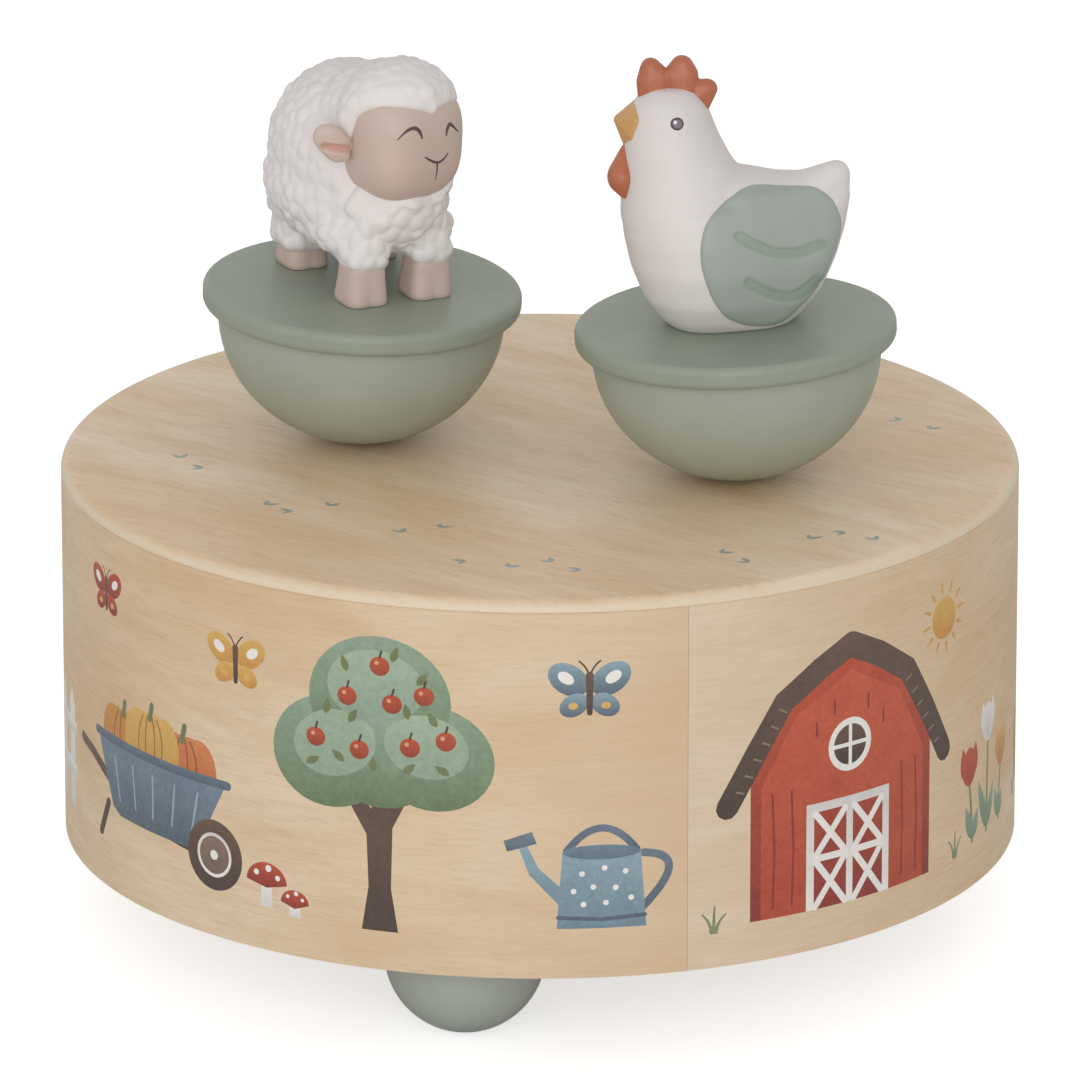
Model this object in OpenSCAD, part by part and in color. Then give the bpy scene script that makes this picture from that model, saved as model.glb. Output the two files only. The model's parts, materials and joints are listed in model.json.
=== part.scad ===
// Wooden toy music box: a drum on three ball feet, with a wind-up movement inside,
// and two animals on round bowls that circle on the lid above turning magnets.
// Millimetres, +Z up. The origin is on the ground, on the axis of the drum.
// The front of the drum faces -Y.

/* [Drum] */
// Outer diameter of the drum
drum_d = 120; // [116:1:140]
// Height of the drum from its lower edge to the top of the lid
drum_h = 48.3; // [47:0.1:60]
// Gap between the ground and the lower edge of the drum
drum_lift = 13; // [12:0.5:16]
// Thickness of the veneer around the drum
veneer_t = 0.8; // [0.6:0.1:1.5]
// Thickness of the wooden core ring
core_t = 7; // [6:0.5:9]
// Thickness of the lid in its middle
lid_t = 4; // [3:0.1:5]
// Radius of the rounded edge of the lid, which is also the height of its rim
lid_round_r = 1.5; // [0.8:0.1:2]
// Thickness of the bottom plate
base_t = 5; // [4:0.5:7]
// Width of the ledge in the core ring that the bottom plate rests against
base_ledge = 4; // [3:0.5:4.5]
// Width of the butt joint where the two ends of the veneer meet
veneer_seam = 0.15; // [0.1:0.05:0.4]
// Angle of the butt joint of the veneer around the drum
veneer_seam_angle = -72.6; // [-90:0.1:90]

/* [Feet] */
// Diameter of each ball foot
foot_d = 20; // [16:0.5:24]
// Diameter of the small flat that each foot stands on
foot_flat_d = 4; // [2:0.5:6]
// Distance of the middle of each foot from the side of the drum
foot_inset = 17.4; // [14:0.1:22]
// Angle of the front foot around the drum
foot_angle = -102.5; // [-120:0.5:-60]

/* [Movement] */
// Thickness of the bedplate
bed_t = 2.2; // [1.6:0.1:3]
// Gap between the far end of the bedplate and the core ring
bed_wall_gap = 5.2; // [4:0.1:8]
// Width of the bedplate
bed_w = 52; // [50:0.5:54]
// Diameter of the winding arbor
arbor_d = 4; // [3:0.1:5]
// Diameter of the output shaft
shaft_d = 4; // [3:0.1:5]
// Radial clearance of every turning shaft in its bore
run_gap = 0.05; // [0.02:0.01:0.1]
// Diameter of the spring barrel
barrel_d = 26; // [22:0.5:27]
// Height of the spring barrel without its cover
barrel_h = 12; // [8:0.5:14]
// Diameter of the melody cylinder
cylinder_d = 13; // [11:0.5:13.5]
// Number of notes, each with one comb tooth and one track of pins
notes = 18; // [12:1:18]
// Number of pins in each track
pins_per_note = 3; // [1:1:5]
// Height of the pins on the melody cylinder
pin_h = 0.4; // [0.3:0.05:0.5]
// Thickness of the comb
comb_t = 0.9; // [0.7:0.1:1.2]
// Length of the comb teeth
comb_tooth_l = 9; // [7:0.5:10]
// Thickness of the wall brackets that hold the cylinder
bracket_t = 1.5; // [1.2:0.1:2]
// Thickness of the fine gears
gear_t = 1.5; // [1.2:0.1:1.6]
// Width across the wings of the winding key
key_w = 22; // [18:0.5:24]
// Thickness of the wings of the winding key
key_t = 2.2; // [1.6:0.1:3]
// Gap between the winding key and the ground
key_ground_gap = 1.8; // [1.5:0.1:3]
// Width across the blades of the air brake
brake_w = 9; // [7:0.5:10]

/* [Magnet carrier] */
// Distance of the two driving magnets from the drum axis
orbit_r = 24.4; // [23.5:0.1:26]
// Angle around the drum at which the carrier stands
carrier_angle = -18; // [-40:1:40]
// Diameter of the driving magnets
drive_magnet_d = 10; // [8:0.5:12]
// Thickness of the driving magnets
drive_magnet_t = 4; // [3:0.1:5]
// Gap between the driving magnets and the lid
drive_magnet_gap = 0.8; // [0.5:0.1:1.5]
// Thickness of the carrier
carrier_t = 2; // [1.5:0.1:3]

/* [Bowls] */
// Radius of the bowls at their widest
bowl_r = 18; // [16:0.1:19]
// Depth of the round part of the bowls
bowl_depth = 16.4; // [15:0.1:17.5]
// Height of the straight lip above the round part
bowl_lip = 0.8; // [0.4:0.1:2]
// Radius of the discs that close the bowls
disc_r = 20; // [19:0.1:21]
// Thickness of the discs
disc_t = 2.9; // [2.5:0.1:4]
// Radius of the rounded edges of the discs
disc_round_r = 1; // [0.5:0.1:1.2]
// Gap between each bowl and the lid
bowl_gap = 0.08; // [0.05:0.01:0.2]
// Wood left below the magnet of each bowl
bowl_floor = 1.2; // [1:0.1:2]
// Diameter of the magnet and of the dowel in each bowl
bowl_magnet_d = 6; // [5:0.1:8]
// Thickness of the magnet in each bowl
bowl_magnet_t = 5; // [4:0.1:6]
// Length of the dowel inside each disc
dowel_in_disc = 1.6; // [1:0.1:2]

/* [Figures] */
// Distance of both figures from the middle of their driving magnets along X
figure_offset_x = 1; // [-2:0.1:2]
// Distance of both figures from the middle of their driving magnets along Y
figure_offset_y = -2; // [-2:0.1:2]
// Lean of the sheep about X
sheep_lean_x = 2.2; // [-4:0.1:4]
// Lean of the sheep about Y
sheep_lean_y = 2.6; // [-4:0.1:4]
// Lean of the hen about X
hen_lean_x = 0.9; // [-4:0.1:4]
// Lean of the hen about Y
hen_lean_y = -2.6; // [-4:0.1:4]
// Direction in which the sheep stands
sheep_heading = -62; // [-90:1:-30]
// Turn of the head of the sheep from its body
sheep_head_turn = 7; // [-20:1:20]
// Length of the body of the sheep
sheep_body_l = 27.5; // [22:0.5:28]
// Width of the body of the sheep
sheep_body_w = 22.5; // [18:0.5:23]
// Height of the body of the sheep, without its legs
sheep_body_h = 24; // [20:0.5:25]
// Height of the belly of the sheep above its disc
sheep_belly_z = 4.5; // [3.5:0.1:6]
// Radius of the woolly top of the head of the sheep
sheep_head_r = 8.3; // [7:0.1:9]
// Width of a hoof of the sheep
sheep_hoof_d = 6.5; // [5:0.1:7]
// Radius of the wool curls
curl_r = 2; // [1.4:0.1:2.4]
// Height of the back of the hen above its disc
hen_back_z = 19.8; // [18:0.1:21]
// Width of the hen
hen_w = 19.5; // [16:0.5:21]
// Diameter of the steel pins that hold the figures on their discs
figure_pin_d = 1.6; // [1:0.1:2]

/* [Hidden] */

// Small gap around pieces that are glued or pressed together
glue_gap = 0.02;
// Gap around plates and screws that drop into place
drop_gap = 0.1;
// Smallest gap that lets one piece turn beside another
turn_gap = 0.3;
// Overlap that joins two shapes of one piece
bond = 0.01;
// How far a cutting shape reaches past the face that it cuts
cut = 1;
// Fineness of the curves
round_fn = 96;
small_fn = 32;

// Radii of the drum
drum_r = drum_d / 2;
core_r = drum_r - veneer_t;
core_in_r = core_r - core_t;
base_seat_r = core_in_r + base_ledge;
base_r = base_seat_r - drop_gap;

// Gear train, in the order in which it turns: the tooth counts set the speeds
crown_teeth = 40;
pinion_teeth = 12;
pinion_r = 4.5;
gear_teeth = 28;
governor_pinion_teeth = 10;
worm_wheel_teeth = 18;
gear_module = 0.5;

// Heights above the ground, from the bottom up
z_base = drum_lift;
z_base_top = z_base + base_t;
z_lid = z_base + drum_h;
z_rim = z_lid - lid_round_r;
z_lid_under = z_lid - lid_t;

// Ball feet
foot_r = foot_d / 2;
foot_pitch_r = drum_r - foot_inset;
foot_centre_z = sqrt(pow(foot_r, 2) - pow(foot_flat_d / 2, 2));
foot_angles = [foot_angle, foot_angle + 120, foot_angle + 240];
foot_screw_d = 3;
foot_screw_head_d = 5.6;
foot_screw_l = 11;

// Screws that hold the bottom plate to the core ring
base_screw_count = 4;
base_screw_d = 2.4;
base_screw_head_d = 4.4;
base_screw_l = 13;
base_screw_pitch_r = (core_in_r + base_seat_r) / 2 + 0.2;

// Bedplate of the movement
bed_x0 = -19;
bed_x1 = core_in_r - bed_wall_gap;
bed_l = bed_x1 - bed_x0;
bed_corner_r = 9;
z_bed_top = z_base_top + bed_t;
mount_screw_d = 2.6;
mount_screw_head_d = 5;
mount_screw_inset = 5;
mount_screw_side_inset = 7;
mount_screw_end_inset = 18;
mount_screw_spare = 0.4;
mount_screw_l = base_t + bed_t - mount_screw_spare;
mount_screw_side = bed_w / 2 - mount_screw_side_inset;
mount_screw_end_side = 12.5;
mount_screw_places = [
    [bed_x0 + mount_screw_inset, mount_screw_side],
    [bed_x0 + mount_screw_inset, -mount_screw_side],
    [bed_x1 - mount_screw_end_inset, -mount_screw_end_side]
];

// Winding side: arbor, ratchet wheel, click and key
arbor_r = arbor_d / 2;
ratchet_r = 6;
ratchet_teeth = 14;
ratchet_t = 1.2;
z_ratchet = z_bed_top + turn_gap;
click_nose_r = 0.3;
click_nose_gap = 0.08;
click_pin_r = 1;
click_boss_r = 1.8;
click_pivot = 12 * [cos(160), sin(160)];
click_nose = (ratchet_r + click_nose_r + click_nose_gap) * [cos(200), sin(200)];
key_lobe_r = 4.8;
key_hub_r = 3.2;
key_hole_r = 5;
z_key = key_ground_gap;
z_key_top = z_base - 1;
z_key_wing_top = z_key + 2 * key_lobe_r;
z_arbor_end = z_key + 4;

// Spring barrel with its crown wheel
barrel_r = barrel_d / 2;
barrel_wall = 0.8;
barrel_floor = 1.2;
z_barrel = z_ratchet + ratchet_t + turn_gap;
z_barrel_top = z_barrel + barrel_h;
cover_t = 1.2;
z_cover_top = z_barrel_top + cover_t;
spring_core_r = arbor_r + 0.6;
spring_strip_t = 0.35;
spring_turns = 7;
spring_end_gap = 0.5;
crown_r = pinion_r * crown_teeth / pinion_teeth;
crown_face = 2.2;
crown_tooth_h = 1.4;
crown_tooth_w = 0.85;
crown_in_r = crown_r - crown_face / 2;
crown_out_r = crown_r + crown_face / 2;
z_crown = z_barrel + barrel_floor;
z_mesh = z_crown + crown_tooth_h / 2;

// Bridge over the barrel
bridge_leg_y = crown_out_r + 1.2;
bridge_t = 1.5;
bridge_w = 11;
bridge_foot_l = 6;
z_bridge = z_cover_top + turn_gap;
bridge_screw_y = bridge_leg_y + bridge_t + bridge_foot_l / 2;

// Melody cylinder, which lies along X
z_cyl = z_mesh + pinion_r;
cyl_arbor_r = 1;
cylinder_r = cylinder_d / 2;
pinion_x = crown_in_r - 0.2;
pinion_w = crown_face + 0.2;
crown_side_gap = 0.8;
cylinder_end_gap = 0.6;
wheel_gap = 1.9;
far_bracket_gap = 1.1;
bed_end_gap = 0.6;
worm_wheel_t = 0.8;
near_bracket_x = crown_out_r + crown_side_gap;
cylinder_x = near_bracket_x + bracket_t + cylinder_end_gap;
far_bracket_x = bed_x1 - bed_end_gap - bracket_t;
wheel_x = far_bracket_x - far_bracket_gap - worm_wheel_t;
gear_x = wheel_x - wheel_gap - gear_t;
cylinder_l = gear_x - cylinder_end_gap - cylinder_x;
gear_r = gear_module * gear_teeth / 2;
bracket_half_w = 4;
bracket_over = 4;
bracket_top_z = z_cyl + bracket_over;
bracket_foot_t = 1.2;
foot_screw_gap = 1.6;
near_foot_l = 5;
near_foot_w = 7.4;
near_foot_end = bracket_half_w + near_foot_w;
near_foot_inset = 2.2;
near_foot_y = near_foot_end - near_foot_inset;
far_foot_in = 3.6;
far_foot_w = 5;
far_foot_end = 11;
far_foot_y = far_foot_w / 2 - far_foot_end;

// Governor: wheel arbor along X, worm spindle upright
mesh_gap = 0.08;
governor_pinion_r = gear_module * governor_pinion_teeth / 2;
governor_y = gear_r + governor_pinion_r + mesh_gap;
governor_arbor_r = 0.8;
far_bracket_past = 3;
governor_back = 2.5;
governor_frame_x = cylinder_x + cylinder_l - governor_back;
governor_foot_l = 6;
governor_foot_x = governor_frame_x - governor_foot_l;
governor_arm_w = 4.8;
governor_wall_gap = 0.8;
worm_wheel_r = gear_module * worm_wheel_teeth / 2;
worm_pitch = PI * gear_module;
worm_core_r = 1.2;
worm_throw = 0.4;
worm_l = 5;
worm_spindle_r = 0.7;
worm_wheel_tip = 0.3;
worm_x = wheel_x + worm_wheel_t / 2;
worm_gap = 0.2;
worm_y = governor_y + worm_wheel_r + worm_wheel_tip + worm_core_r - worm_throw + worm_gap;
governor_foot_w = worm_y + governor_arm_w / 2 - governor_y;
z_worm = z_cyl - worm_l / 2;
governor_pad_t = 1.8;
governor_arm_over = 7;
governor_arm_t = 1.5;
z_governor_arm = z_cyl + governor_arm_over;
worm_bore_floor = 0.6;
worm_end_gap = 0.2;
z_worm_end = z_bed_top + worm_bore_floor + worm_end_gap;
brake_gap = 0.8;
z_brake = z_governor_arm + governor_arm_t + brake_gap;
brake_h = 4;
brake_blade_t = 0.4;

// Comb beside the cylinder
comb_tip_y = cylinder_r + pin_h + 0.08;
comb_x = cylinder_x + 0.4;
comb_pitch = (cylinder_l - 0.8) / notes;
comb_tooth_w = comb_pitch * 0.7;
comb_slant = 2.5;
comb_plate_w = 7;
comb_back_y = comb_tip_y + comb_tooth_l + comb_plate_w;
z_comb = z_cyl - comb_t / 2;
comb_screw_y = comb_back_y - comb_plate_w / 2;

// Small machine screws of the movement
screw_d = 1.8;
screw_head_d = 3.4;
screw_head_h = 1.2;
screw_l = 3;

// Magnet carrier under the lid
shaft_r = shaft_d / 2;
z_drive_magnet = z_lid_under - drive_magnet_gap - drive_magnet_t;
magnet_pocket = 0.6;
z_carrier = z_drive_magnet + magnet_pocket - carrier_t;
carrier_rim_r = drive_magnet_d / 2 + 1.2;
carrier_rim_h = 2.4;
carrier_bar_w = 8;
hub_r = 5;
hub_spigot_r = 3.4;
hub_l = 7;
z_hub = z_carrier - hub_l;
set_screw_r = 1;

// Bowls and what they carry, each in its own frame on the lid
pivot_h = pow(bowl_r, 2) / bowl_depth;
z_disc = bowl_depth + bowl_lip;
z_deck = z_disc + disc_t;
bowl_bore_r = bowl_magnet_d / 2 + run_gap;
bowl_steps = 36;
hen_drive = orbit_r * [cos(carrier_angle), sin(carrier_angle)];
sheep_drive = -hen_drive;
hen_at = hen_drive + [figure_offset_x, figure_offset_y];
sheep_at = sheep_drive + [figure_offset_x, figure_offset_y];
hen_lean = [hen_lean_x, hen_lean_y, 0];
sheep_lean = [sheep_lean_x, sheep_lean_y, 0];
figure_pin_l = 4;
figure_pin_in_disc = 1.2;

// The sheep, in a frame of its own: it looks along +X
sheep_spot_x = 0.5;
sheep_spot_y = 1.85;
sheep_spot = [sheep_spot_x, sheep_spot_y];
sheep_body_at = [-3.9, -0.3, sheep_belly_z + sheep_body_h / 2];
sheep_head_at = [7, 0, 23];
sheep_face_at = [8.7, 0, 20.3];
sheep_face_size = [15, 14, 13.2];
sheep_front_leg_x = 7.2;
sheep_front_leg_y = 4.6;
sheep_back_leg_x = -8.6;
sheep_back_leg_y = 4.9;
sheep_legs = [
    [sheep_front_leg_x, -sheep_front_leg_y],
    [sheep_front_leg_x, sheep_front_leg_y],
    [sheep_back_leg_x, -sheep_back_leg_y],
    [sheep_back_leg_x, sheep_back_leg_y]
];
hoof_h = 4.6;
sheep_thigh_front = 7;
sheep_thigh_back = 9.6;
body_curls = 80;
head_curls = 36;

// The hen, which looks along -X, as rows of height, front, back and half width
hen_rows = [
    [0, -8.4, 7.4, 5.6],
    [1.6, -9.9, 8.7, 7.2],
    [4, -11.8, 10.4, 8.7],
    [8, -13.1, 12.4, 9.7],
    [12, -13.6, 13.6, 9.5],
    [16, -13.8, 14.4, 8.6],
    [18.6, -13.5, 14.3, 7.6]
];
hen_neck_rows = [
    [18.6, -13.5, 2.6, 7.6],
    [21, -13.2, 1, 7],
    [24, -12.8, -0.7, 6.3],
    [27, -12.1, -1.8, 5.6],
    [29.2, -11.1, -2.8, 4.6],
    [30.6, -9.5, -4.2, 2.8]
];
hen_drawn_w = 19.5;
hen_k = hen_w / hen_drawn_w;
hen_comb_lobes = [[-9.5, 32, 1.9], [-5.6, 32.4, 2.1], [-2.4, 29.7, 1.5]];
hen_pin_places = [[-3.4, 0], [2.4, 0]];

// A point on a circle of the given radius
function around(r, a) = [r * cos(a), r * sin(a)];

// Places its children in the frame of a bowl: the origin is the lowest point of
// the bowl, and the bowl leans about the middle of curvature of that point.
module on_lid(at, lean) {
    translate([at.x, at.y, z_lid + bowl_gap + pivot_h])
        rotate(lean)
            translate([0, 0, -pivot_h])
                children();
}

// A wood screw with a countersunk head that points up, its top face at the origin
module countersunk_screw(d, head_d, l) {
    head_h = (head_d - d) / 2;
    tip_h = d;
    difference() {
        union() {
            translate([0, 0, -head_h]) cylinder(h = head_h, d1 = d, d2 = head_d, $fn = small_fn);
            translate([0, 0, tip_h - l]) cylinder(h = l - tip_h - head_h, d = d, $fn = small_fn);
            translate([0, 0, -l]) cylinder(h = tip_h, d1 = d * 0.3, d2 = d, $fn = small_fn);
        }
        for (a = [0, 90])
            rotate(a) translate([0, 0, -head_h * 0.3]) cube([head_d * 0.6, 0.6, head_h], center = true);
    }
}

// The hole that such a screw drops into
module countersunk_hole(d, head_d, l) {
    head_h = (head_d - d) / 2;
    translate([0, 0, -l - drop_gap]) cylinder(h = l + 2 * drop_gap, d = d + drop_gap, $fn = small_fn);
    translate([0, 0, -head_h])
        cylinder(h = head_h + 0.01, d1 = d + drop_gap, d2 = head_d + drop_gap, $fn = small_fn);
}

// A machine screw with a slotted round head that sits on the origin and points up
module pan_screw() {
    difference() {
        union() {
            cylinder(h = screw_head_h, d = screw_head_d, $fn = small_fn);
            translate([0, 0, -screw_l]) cylinder(h = screw_l + 0.01, d = screw_d, $fn = small_fn);
        }
        translate([0, 0, screw_head_h]) cube([screw_head_d + 1, 0.5, 1], center = true);
    }
}

// The hole for the shank of that screw, through everything below the origin
module pan_hole() {
    translate([0, 0, -screw_l - cut]) cylinder(h = screw_l + 2 * cut, d = screw_d + drop_gap, $fn = small_fn);
}

// A spur gear along +X from the origin, with straight-sided teeth, the first one
// centred at the angle "phase" from +Y towards +Z.
module spur_gear(teeth, pitch_r, tip, root, w_tip, w_root, thickness, phase = 0) {
    rotate([90, 0, 90])
        linear_extrude(thickness) {
            circle(r = pitch_r - root, $fn = round_fn);
            for (i = [0:teeth - 1])
                rotate(phase + i * 360 / teeth)
                    polygon([
                        [pitch_r - root - 0.3, -w_root / 2],
                        [pitch_r + tip, -w_tip / 2],
                        [pitch_r + tip, w_tip / 2],
                        [pitch_r - root - 0.3, w_root / 2]
                    ]);
        }
}

// Drum

// Where the screws of the bottom plate go
module at_base_screws() {
    for (i = [0:base_screw_count - 1])
        rotate(45 + foot_angle + i * 360 / base_screw_count)
            translate([base_screw_pitch_r, 0, z_base])
                rotate([180, 0, 0])
                    children();
}

// Where the screws of the feet go
module at_foot_screws() {
    for (a = foot_angles)
        rotate(a)
            translate([foot_pitch_r, 0, z_base_top])
                children();
}

// Where the screws that hold the movement go
module at_mount_screws() {
    for (p = mount_screw_places)
        translate([p.x, p.y, z_base])
            rotate([180, 0, 0])
                children();
}

module core_ring() {
    color("tan")
        difference() {
            translate([0, 0, z_base]) cylinder(h = z_rim - z_base, r = core_r, $fn = round_fn);
            translate([0, 0, z_base - cut]) cylinder(h = drum_h + 2 * cut, r = core_in_r, $fn = round_fn);
            translate([0, 0, z_base - cut]) cylinder(h = base_t + 1, r = base_seat_r, $fn = round_fn);
            at_base_screws() countersunk_hole(base_screw_d, base_screw_head_d, base_screw_l);
        }
}

module veneer_wrap() {
    color("burlywood")
        difference() {
            translate([0, 0, z_base]) cylinder(h = z_rim - z_base, r = drum_r, $fn = round_fn);
            translate([0, 0, z_base - cut])
                cylinder(h = z_rim - z_base + 2 * cut, r = core_r + glue_gap, $fn = round_fn);
            rotate(veneer_seam_angle)
                translate([core_r - cut, -veneer_seam / 2, z_base - cut])
                    cube([veneer_t + 2, veneer_seam, drum_h + 2]);
        }
}

module top_plate() {
    color("wheat")
        union() {
            translate([0, 0, z_lid_under])
                cylinder(h = lid_t, r = core_in_r - drop_gap, $fn = round_fn);
            translate([0, 0, z_rim])
                rotate_extrude($fn = round_fn) {
                    square([drum_r - lid_round_r, lid_round_r]);
                    intersection() {
                        translate([drum_r - lid_round_r, 0]) circle(r = lid_round_r, $fn = small_fn);
                        translate([drum_r - lid_round_r - 0.01, 0]) square(lid_round_r + 1);
                    }
                }
        }
}

module bottom_plate() {
    color("peru")
        difference() {
            translate([0, 0, z_base]) cylinder(h = base_t, r = base_r, $fn = round_fn);
            translate([0, 0, z_base - cut]) cylinder(h = base_t + 2 * cut, r = key_hole_r, $fn = round_fn);
            at_foot_screws() countersunk_hole(foot_screw_d, foot_screw_head_d, foot_screw_l);
            at_base_screws() countersunk_hole(base_screw_d, base_screw_head_d, base_screw_l);
            at_mount_screws() countersunk_hole(mount_screw_d, mount_screw_head_d, base_t + 1);
        }
}

// A wooden ball, cut flat under the bottom plate and where it stands
module ball_foot(angle) {
    color("darkseagreen")
        difference() {
            rotate(angle) translate([foot_pitch_r, 0, foot_centre_z]) sphere(r = foot_r, $fn = round_fn);
            rotate(angle) translate([foot_pitch_r - foot_r - 1, -foot_r - 1, z_base])
                cube([foot_d + 2, foot_d + 2, foot_d]);
            rotate(angle) translate([foot_pitch_r - foot_r - 1, -foot_r - 1, -foot_d])
                cube([foot_d + 2, foot_d + 2, foot_d]);
            at_foot_screws() countersunk_hole(foot_screw_d, foot_screw_head_d, foot_screw_l);
        }
}

module front_foot() {
    ball_foot(foot_angles[0]);
}

module right_foot() {
    ball_foot(foot_angles[1]);
}

module left_foot() {
    ball_foot(foot_angles[2]);
}

module foot_screws() {
    color("silver") at_foot_screws() countersunk_screw(foot_screw_d, foot_screw_head_d, foot_screw_l);
}

module bottom_plate_screws() {
    color("silver") at_base_screws() countersunk_screw(base_screw_d, base_screw_head_d, base_screw_l);
}

module mounting_screws() {
    color("silver")
        at_mount_screws() countersunk_screw(mount_screw_d, mount_screw_head_d, mount_screw_l);
}

// Frame of the movement

// Places of the small screws that stand on feet on the bedplate
module at_foot_holes() {
    z = z_bed_top + bracket_foot_t;
    for (s = [-1, 1]) {
        translate([0, s * bridge_screw_y, z]) children();
        translate([near_bracket_x + bracket_t + foot_screw_gap, s * near_foot_y, z]) children();
    }
    translate([far_bracket_x - foot_screw_gap, far_foot_y, z]) children();
    translate([governor_foot_x + governor_foot_l / 2, governor_y + governor_foot_w / 2, z]) children();
}

// Places of the two screws that hold the comb
module at_comb_holes() {
    for (f = [0.2, 0.8])
        translate([cylinder_x + f * cylinder_l, -comb_screw_y, z_comb + comb_t]) children();
}

module bedplate() {
    color("gray")
        difference() {
            union() {
                translate([bed_x0 + bed_corner_r, -bed_w / 2, z_base_top])
                    cube([bed_l - 2 * bed_corner_r, bed_w, bed_t]);
                translate([bed_x0, bed_corner_r - bed_w / 2, z_base_top])
                    cube([bed_l, bed_w - 2 * bed_corner_r, bed_t]);
                for (x = [bed_x0 + bed_corner_r, bed_x0 + bed_l - bed_corner_r], s = [-1, 1])
                    translate([x, s * (bed_w / 2 - bed_corner_r), z_base_top])
                        cylinder(h = bed_t, r = bed_corner_r, $fn = round_fn);
                translate([click_pivot.x, click_pivot.y, z_base_top])
                    cylinder(h = bed_t + turn_gap + ratchet_t, r = click_pin_r, $fn = small_fn);
            }
            translate([0, 0, z_base_top - cut])
                cylinder(h = bed_t + 2 * cut, r = arbor_r + run_gap, $fn = round_fn);
            at_foot_holes() pan_hole();
            at_mount_screws() translate([0, 0, -base_t - bed_t - cut])
                cylinder(h = bed_t + 2 * cut, d = mount_screw_d + drop_gap, $fn = small_fn);
        }
}

module barrel_bridge() {
    span = bridge_leg_y + bridge_t;
    color("goldenrod")
        difference() {
            union() {
                translate([-bridge_w / 2, -span, z_bridge]) cube([bridge_w, 2 * span, bridge_t]);
                for (s = [-1, 1]) {
                    translate([-bridge_w / 2, s > 0 ? bridge_leg_y : -span, z_bed_top])
                        cube([bridge_w, bridge_t, z_bridge - z_bed_top + 0.01]);
                    translate([-bridge_w / 2, s > 0 ? bridge_leg_y : -span - bridge_foot_l, z_bed_top])
                        cube([bridge_w, bridge_t + bridge_foot_l, bracket_foot_t]);
                }
                translate([0, 0, z_bridge]) cylinder(h = bridge_t + 1.5, r = shaft_r + 2, $fn = round_fn);
            }
            translate([0, 0, z_bridge - cut])
                cylinder(h = bridge_t + 4, r = shaft_r + run_gap, $fn = round_fn);
            at_foot_holes() pan_hole();
        }
}

// A wall bracket across the cylinder, with a bore for its arbor
module bracket_wall(x, y0, y1) {
    translate([x, y0, z_bed_top]) cube([bracket_t, y1 - y0, bracket_top_z - z_bed_top]);
}

module near_bracket() {
    color("goldenrod")
        difference() {
            union() {
                bracket_wall(near_bracket_x, -bracket_half_w, bracket_half_w);
                for (s = [-1, 1])
                    translate([near_bracket_x, s > 0 ? bracket_half_w - bond : -near_foot_end, z_bed_top])
                        cube([near_foot_l, near_foot_w + bond, bracket_foot_t]);
            }
            translate([near_bracket_x - cut, 0, z_cyl])
                rotate([0, 90, 0])
                    cylinder(h = bracket_t + 2 * cut, r = cyl_arbor_r + run_gap, $fn = small_fn);
            at_foot_holes() pan_hole();
        }
}

module far_bracket() {
    color("goldenrod")
        difference() {
            union() {
                bracket_wall(far_bracket_x, -bracket_half_w, governor_y + far_bracket_past);
                translate([far_bracket_x - far_foot_in, -far_foot_end, z_bed_top])
                    cube([bracket_t + far_foot_in, far_foot_w, bracket_foot_t]);
                translate([far_bracket_x, -far_foot_end, z_bed_top])
                    cube([bracket_t, far_foot_end - bracket_half_w + bond, bracket_foot_t]);
            }
            translate([far_bracket_x - cut, 0, z_cyl])
                rotate([0, 90, 0])
                    cylinder(h = bracket_t + 2 * cut, r = cyl_arbor_r + run_gap, $fn = small_fn);
            translate([far_bracket_x - cut, governor_y, z_cyl])
                rotate([0, 90, 0])
                    cylinder(h = bracket_t + 2 * cut, r = governor_arbor_r + run_gap, $fn = small_fn);
            at_foot_holes() pan_hole();
        }
}

module comb_base() {
    color("dimgray")
        difference() {
            translate([cylinder_x, -comb_back_y - 0.5, z_bed_top])
                cube([cylinder_l, comb_plate_w, z_comb - z_bed_top]);
            at_comb_holes() pan_hole();
        }
}

// The comb: one plate with a row of teeth, the longest ones for the low notes
module comb() {
    color("lightsteelblue")
        translate([0, 0, z_comb])
            difference() {
                linear_extrude(comb_t) {
                    for (i = [0:notes - 1]) {
                        root = comb_tooth_l - comb_slant * i / notes;
                        x = comb_x + (i + 0.5) * comb_pitch - comb_tooth_w / 2;
                        translate([x, -comb_tip_y - root - 0.3]) square([comb_tooth_w, root + 0.3]);
                    }
                    polygon([
                        [cylinder_x, -comb_tip_y - comb_tooth_l],
                        [cylinder_x + cylinder_l, -comb_tip_y - comb_tooth_l + comb_slant],
                        [cylinder_x + cylinder_l, -comb_back_y],
                        [cylinder_x, -comb_back_y]
                    ]);
                }
                translate([0, 0, -z_comb]) at_comb_holes() pan_hole();
            }
}

module movement_screws() {
    color("silver") {
        at_foot_holes() pan_screw();
        at_comb_holes() pan_screw();
    }
}

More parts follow.
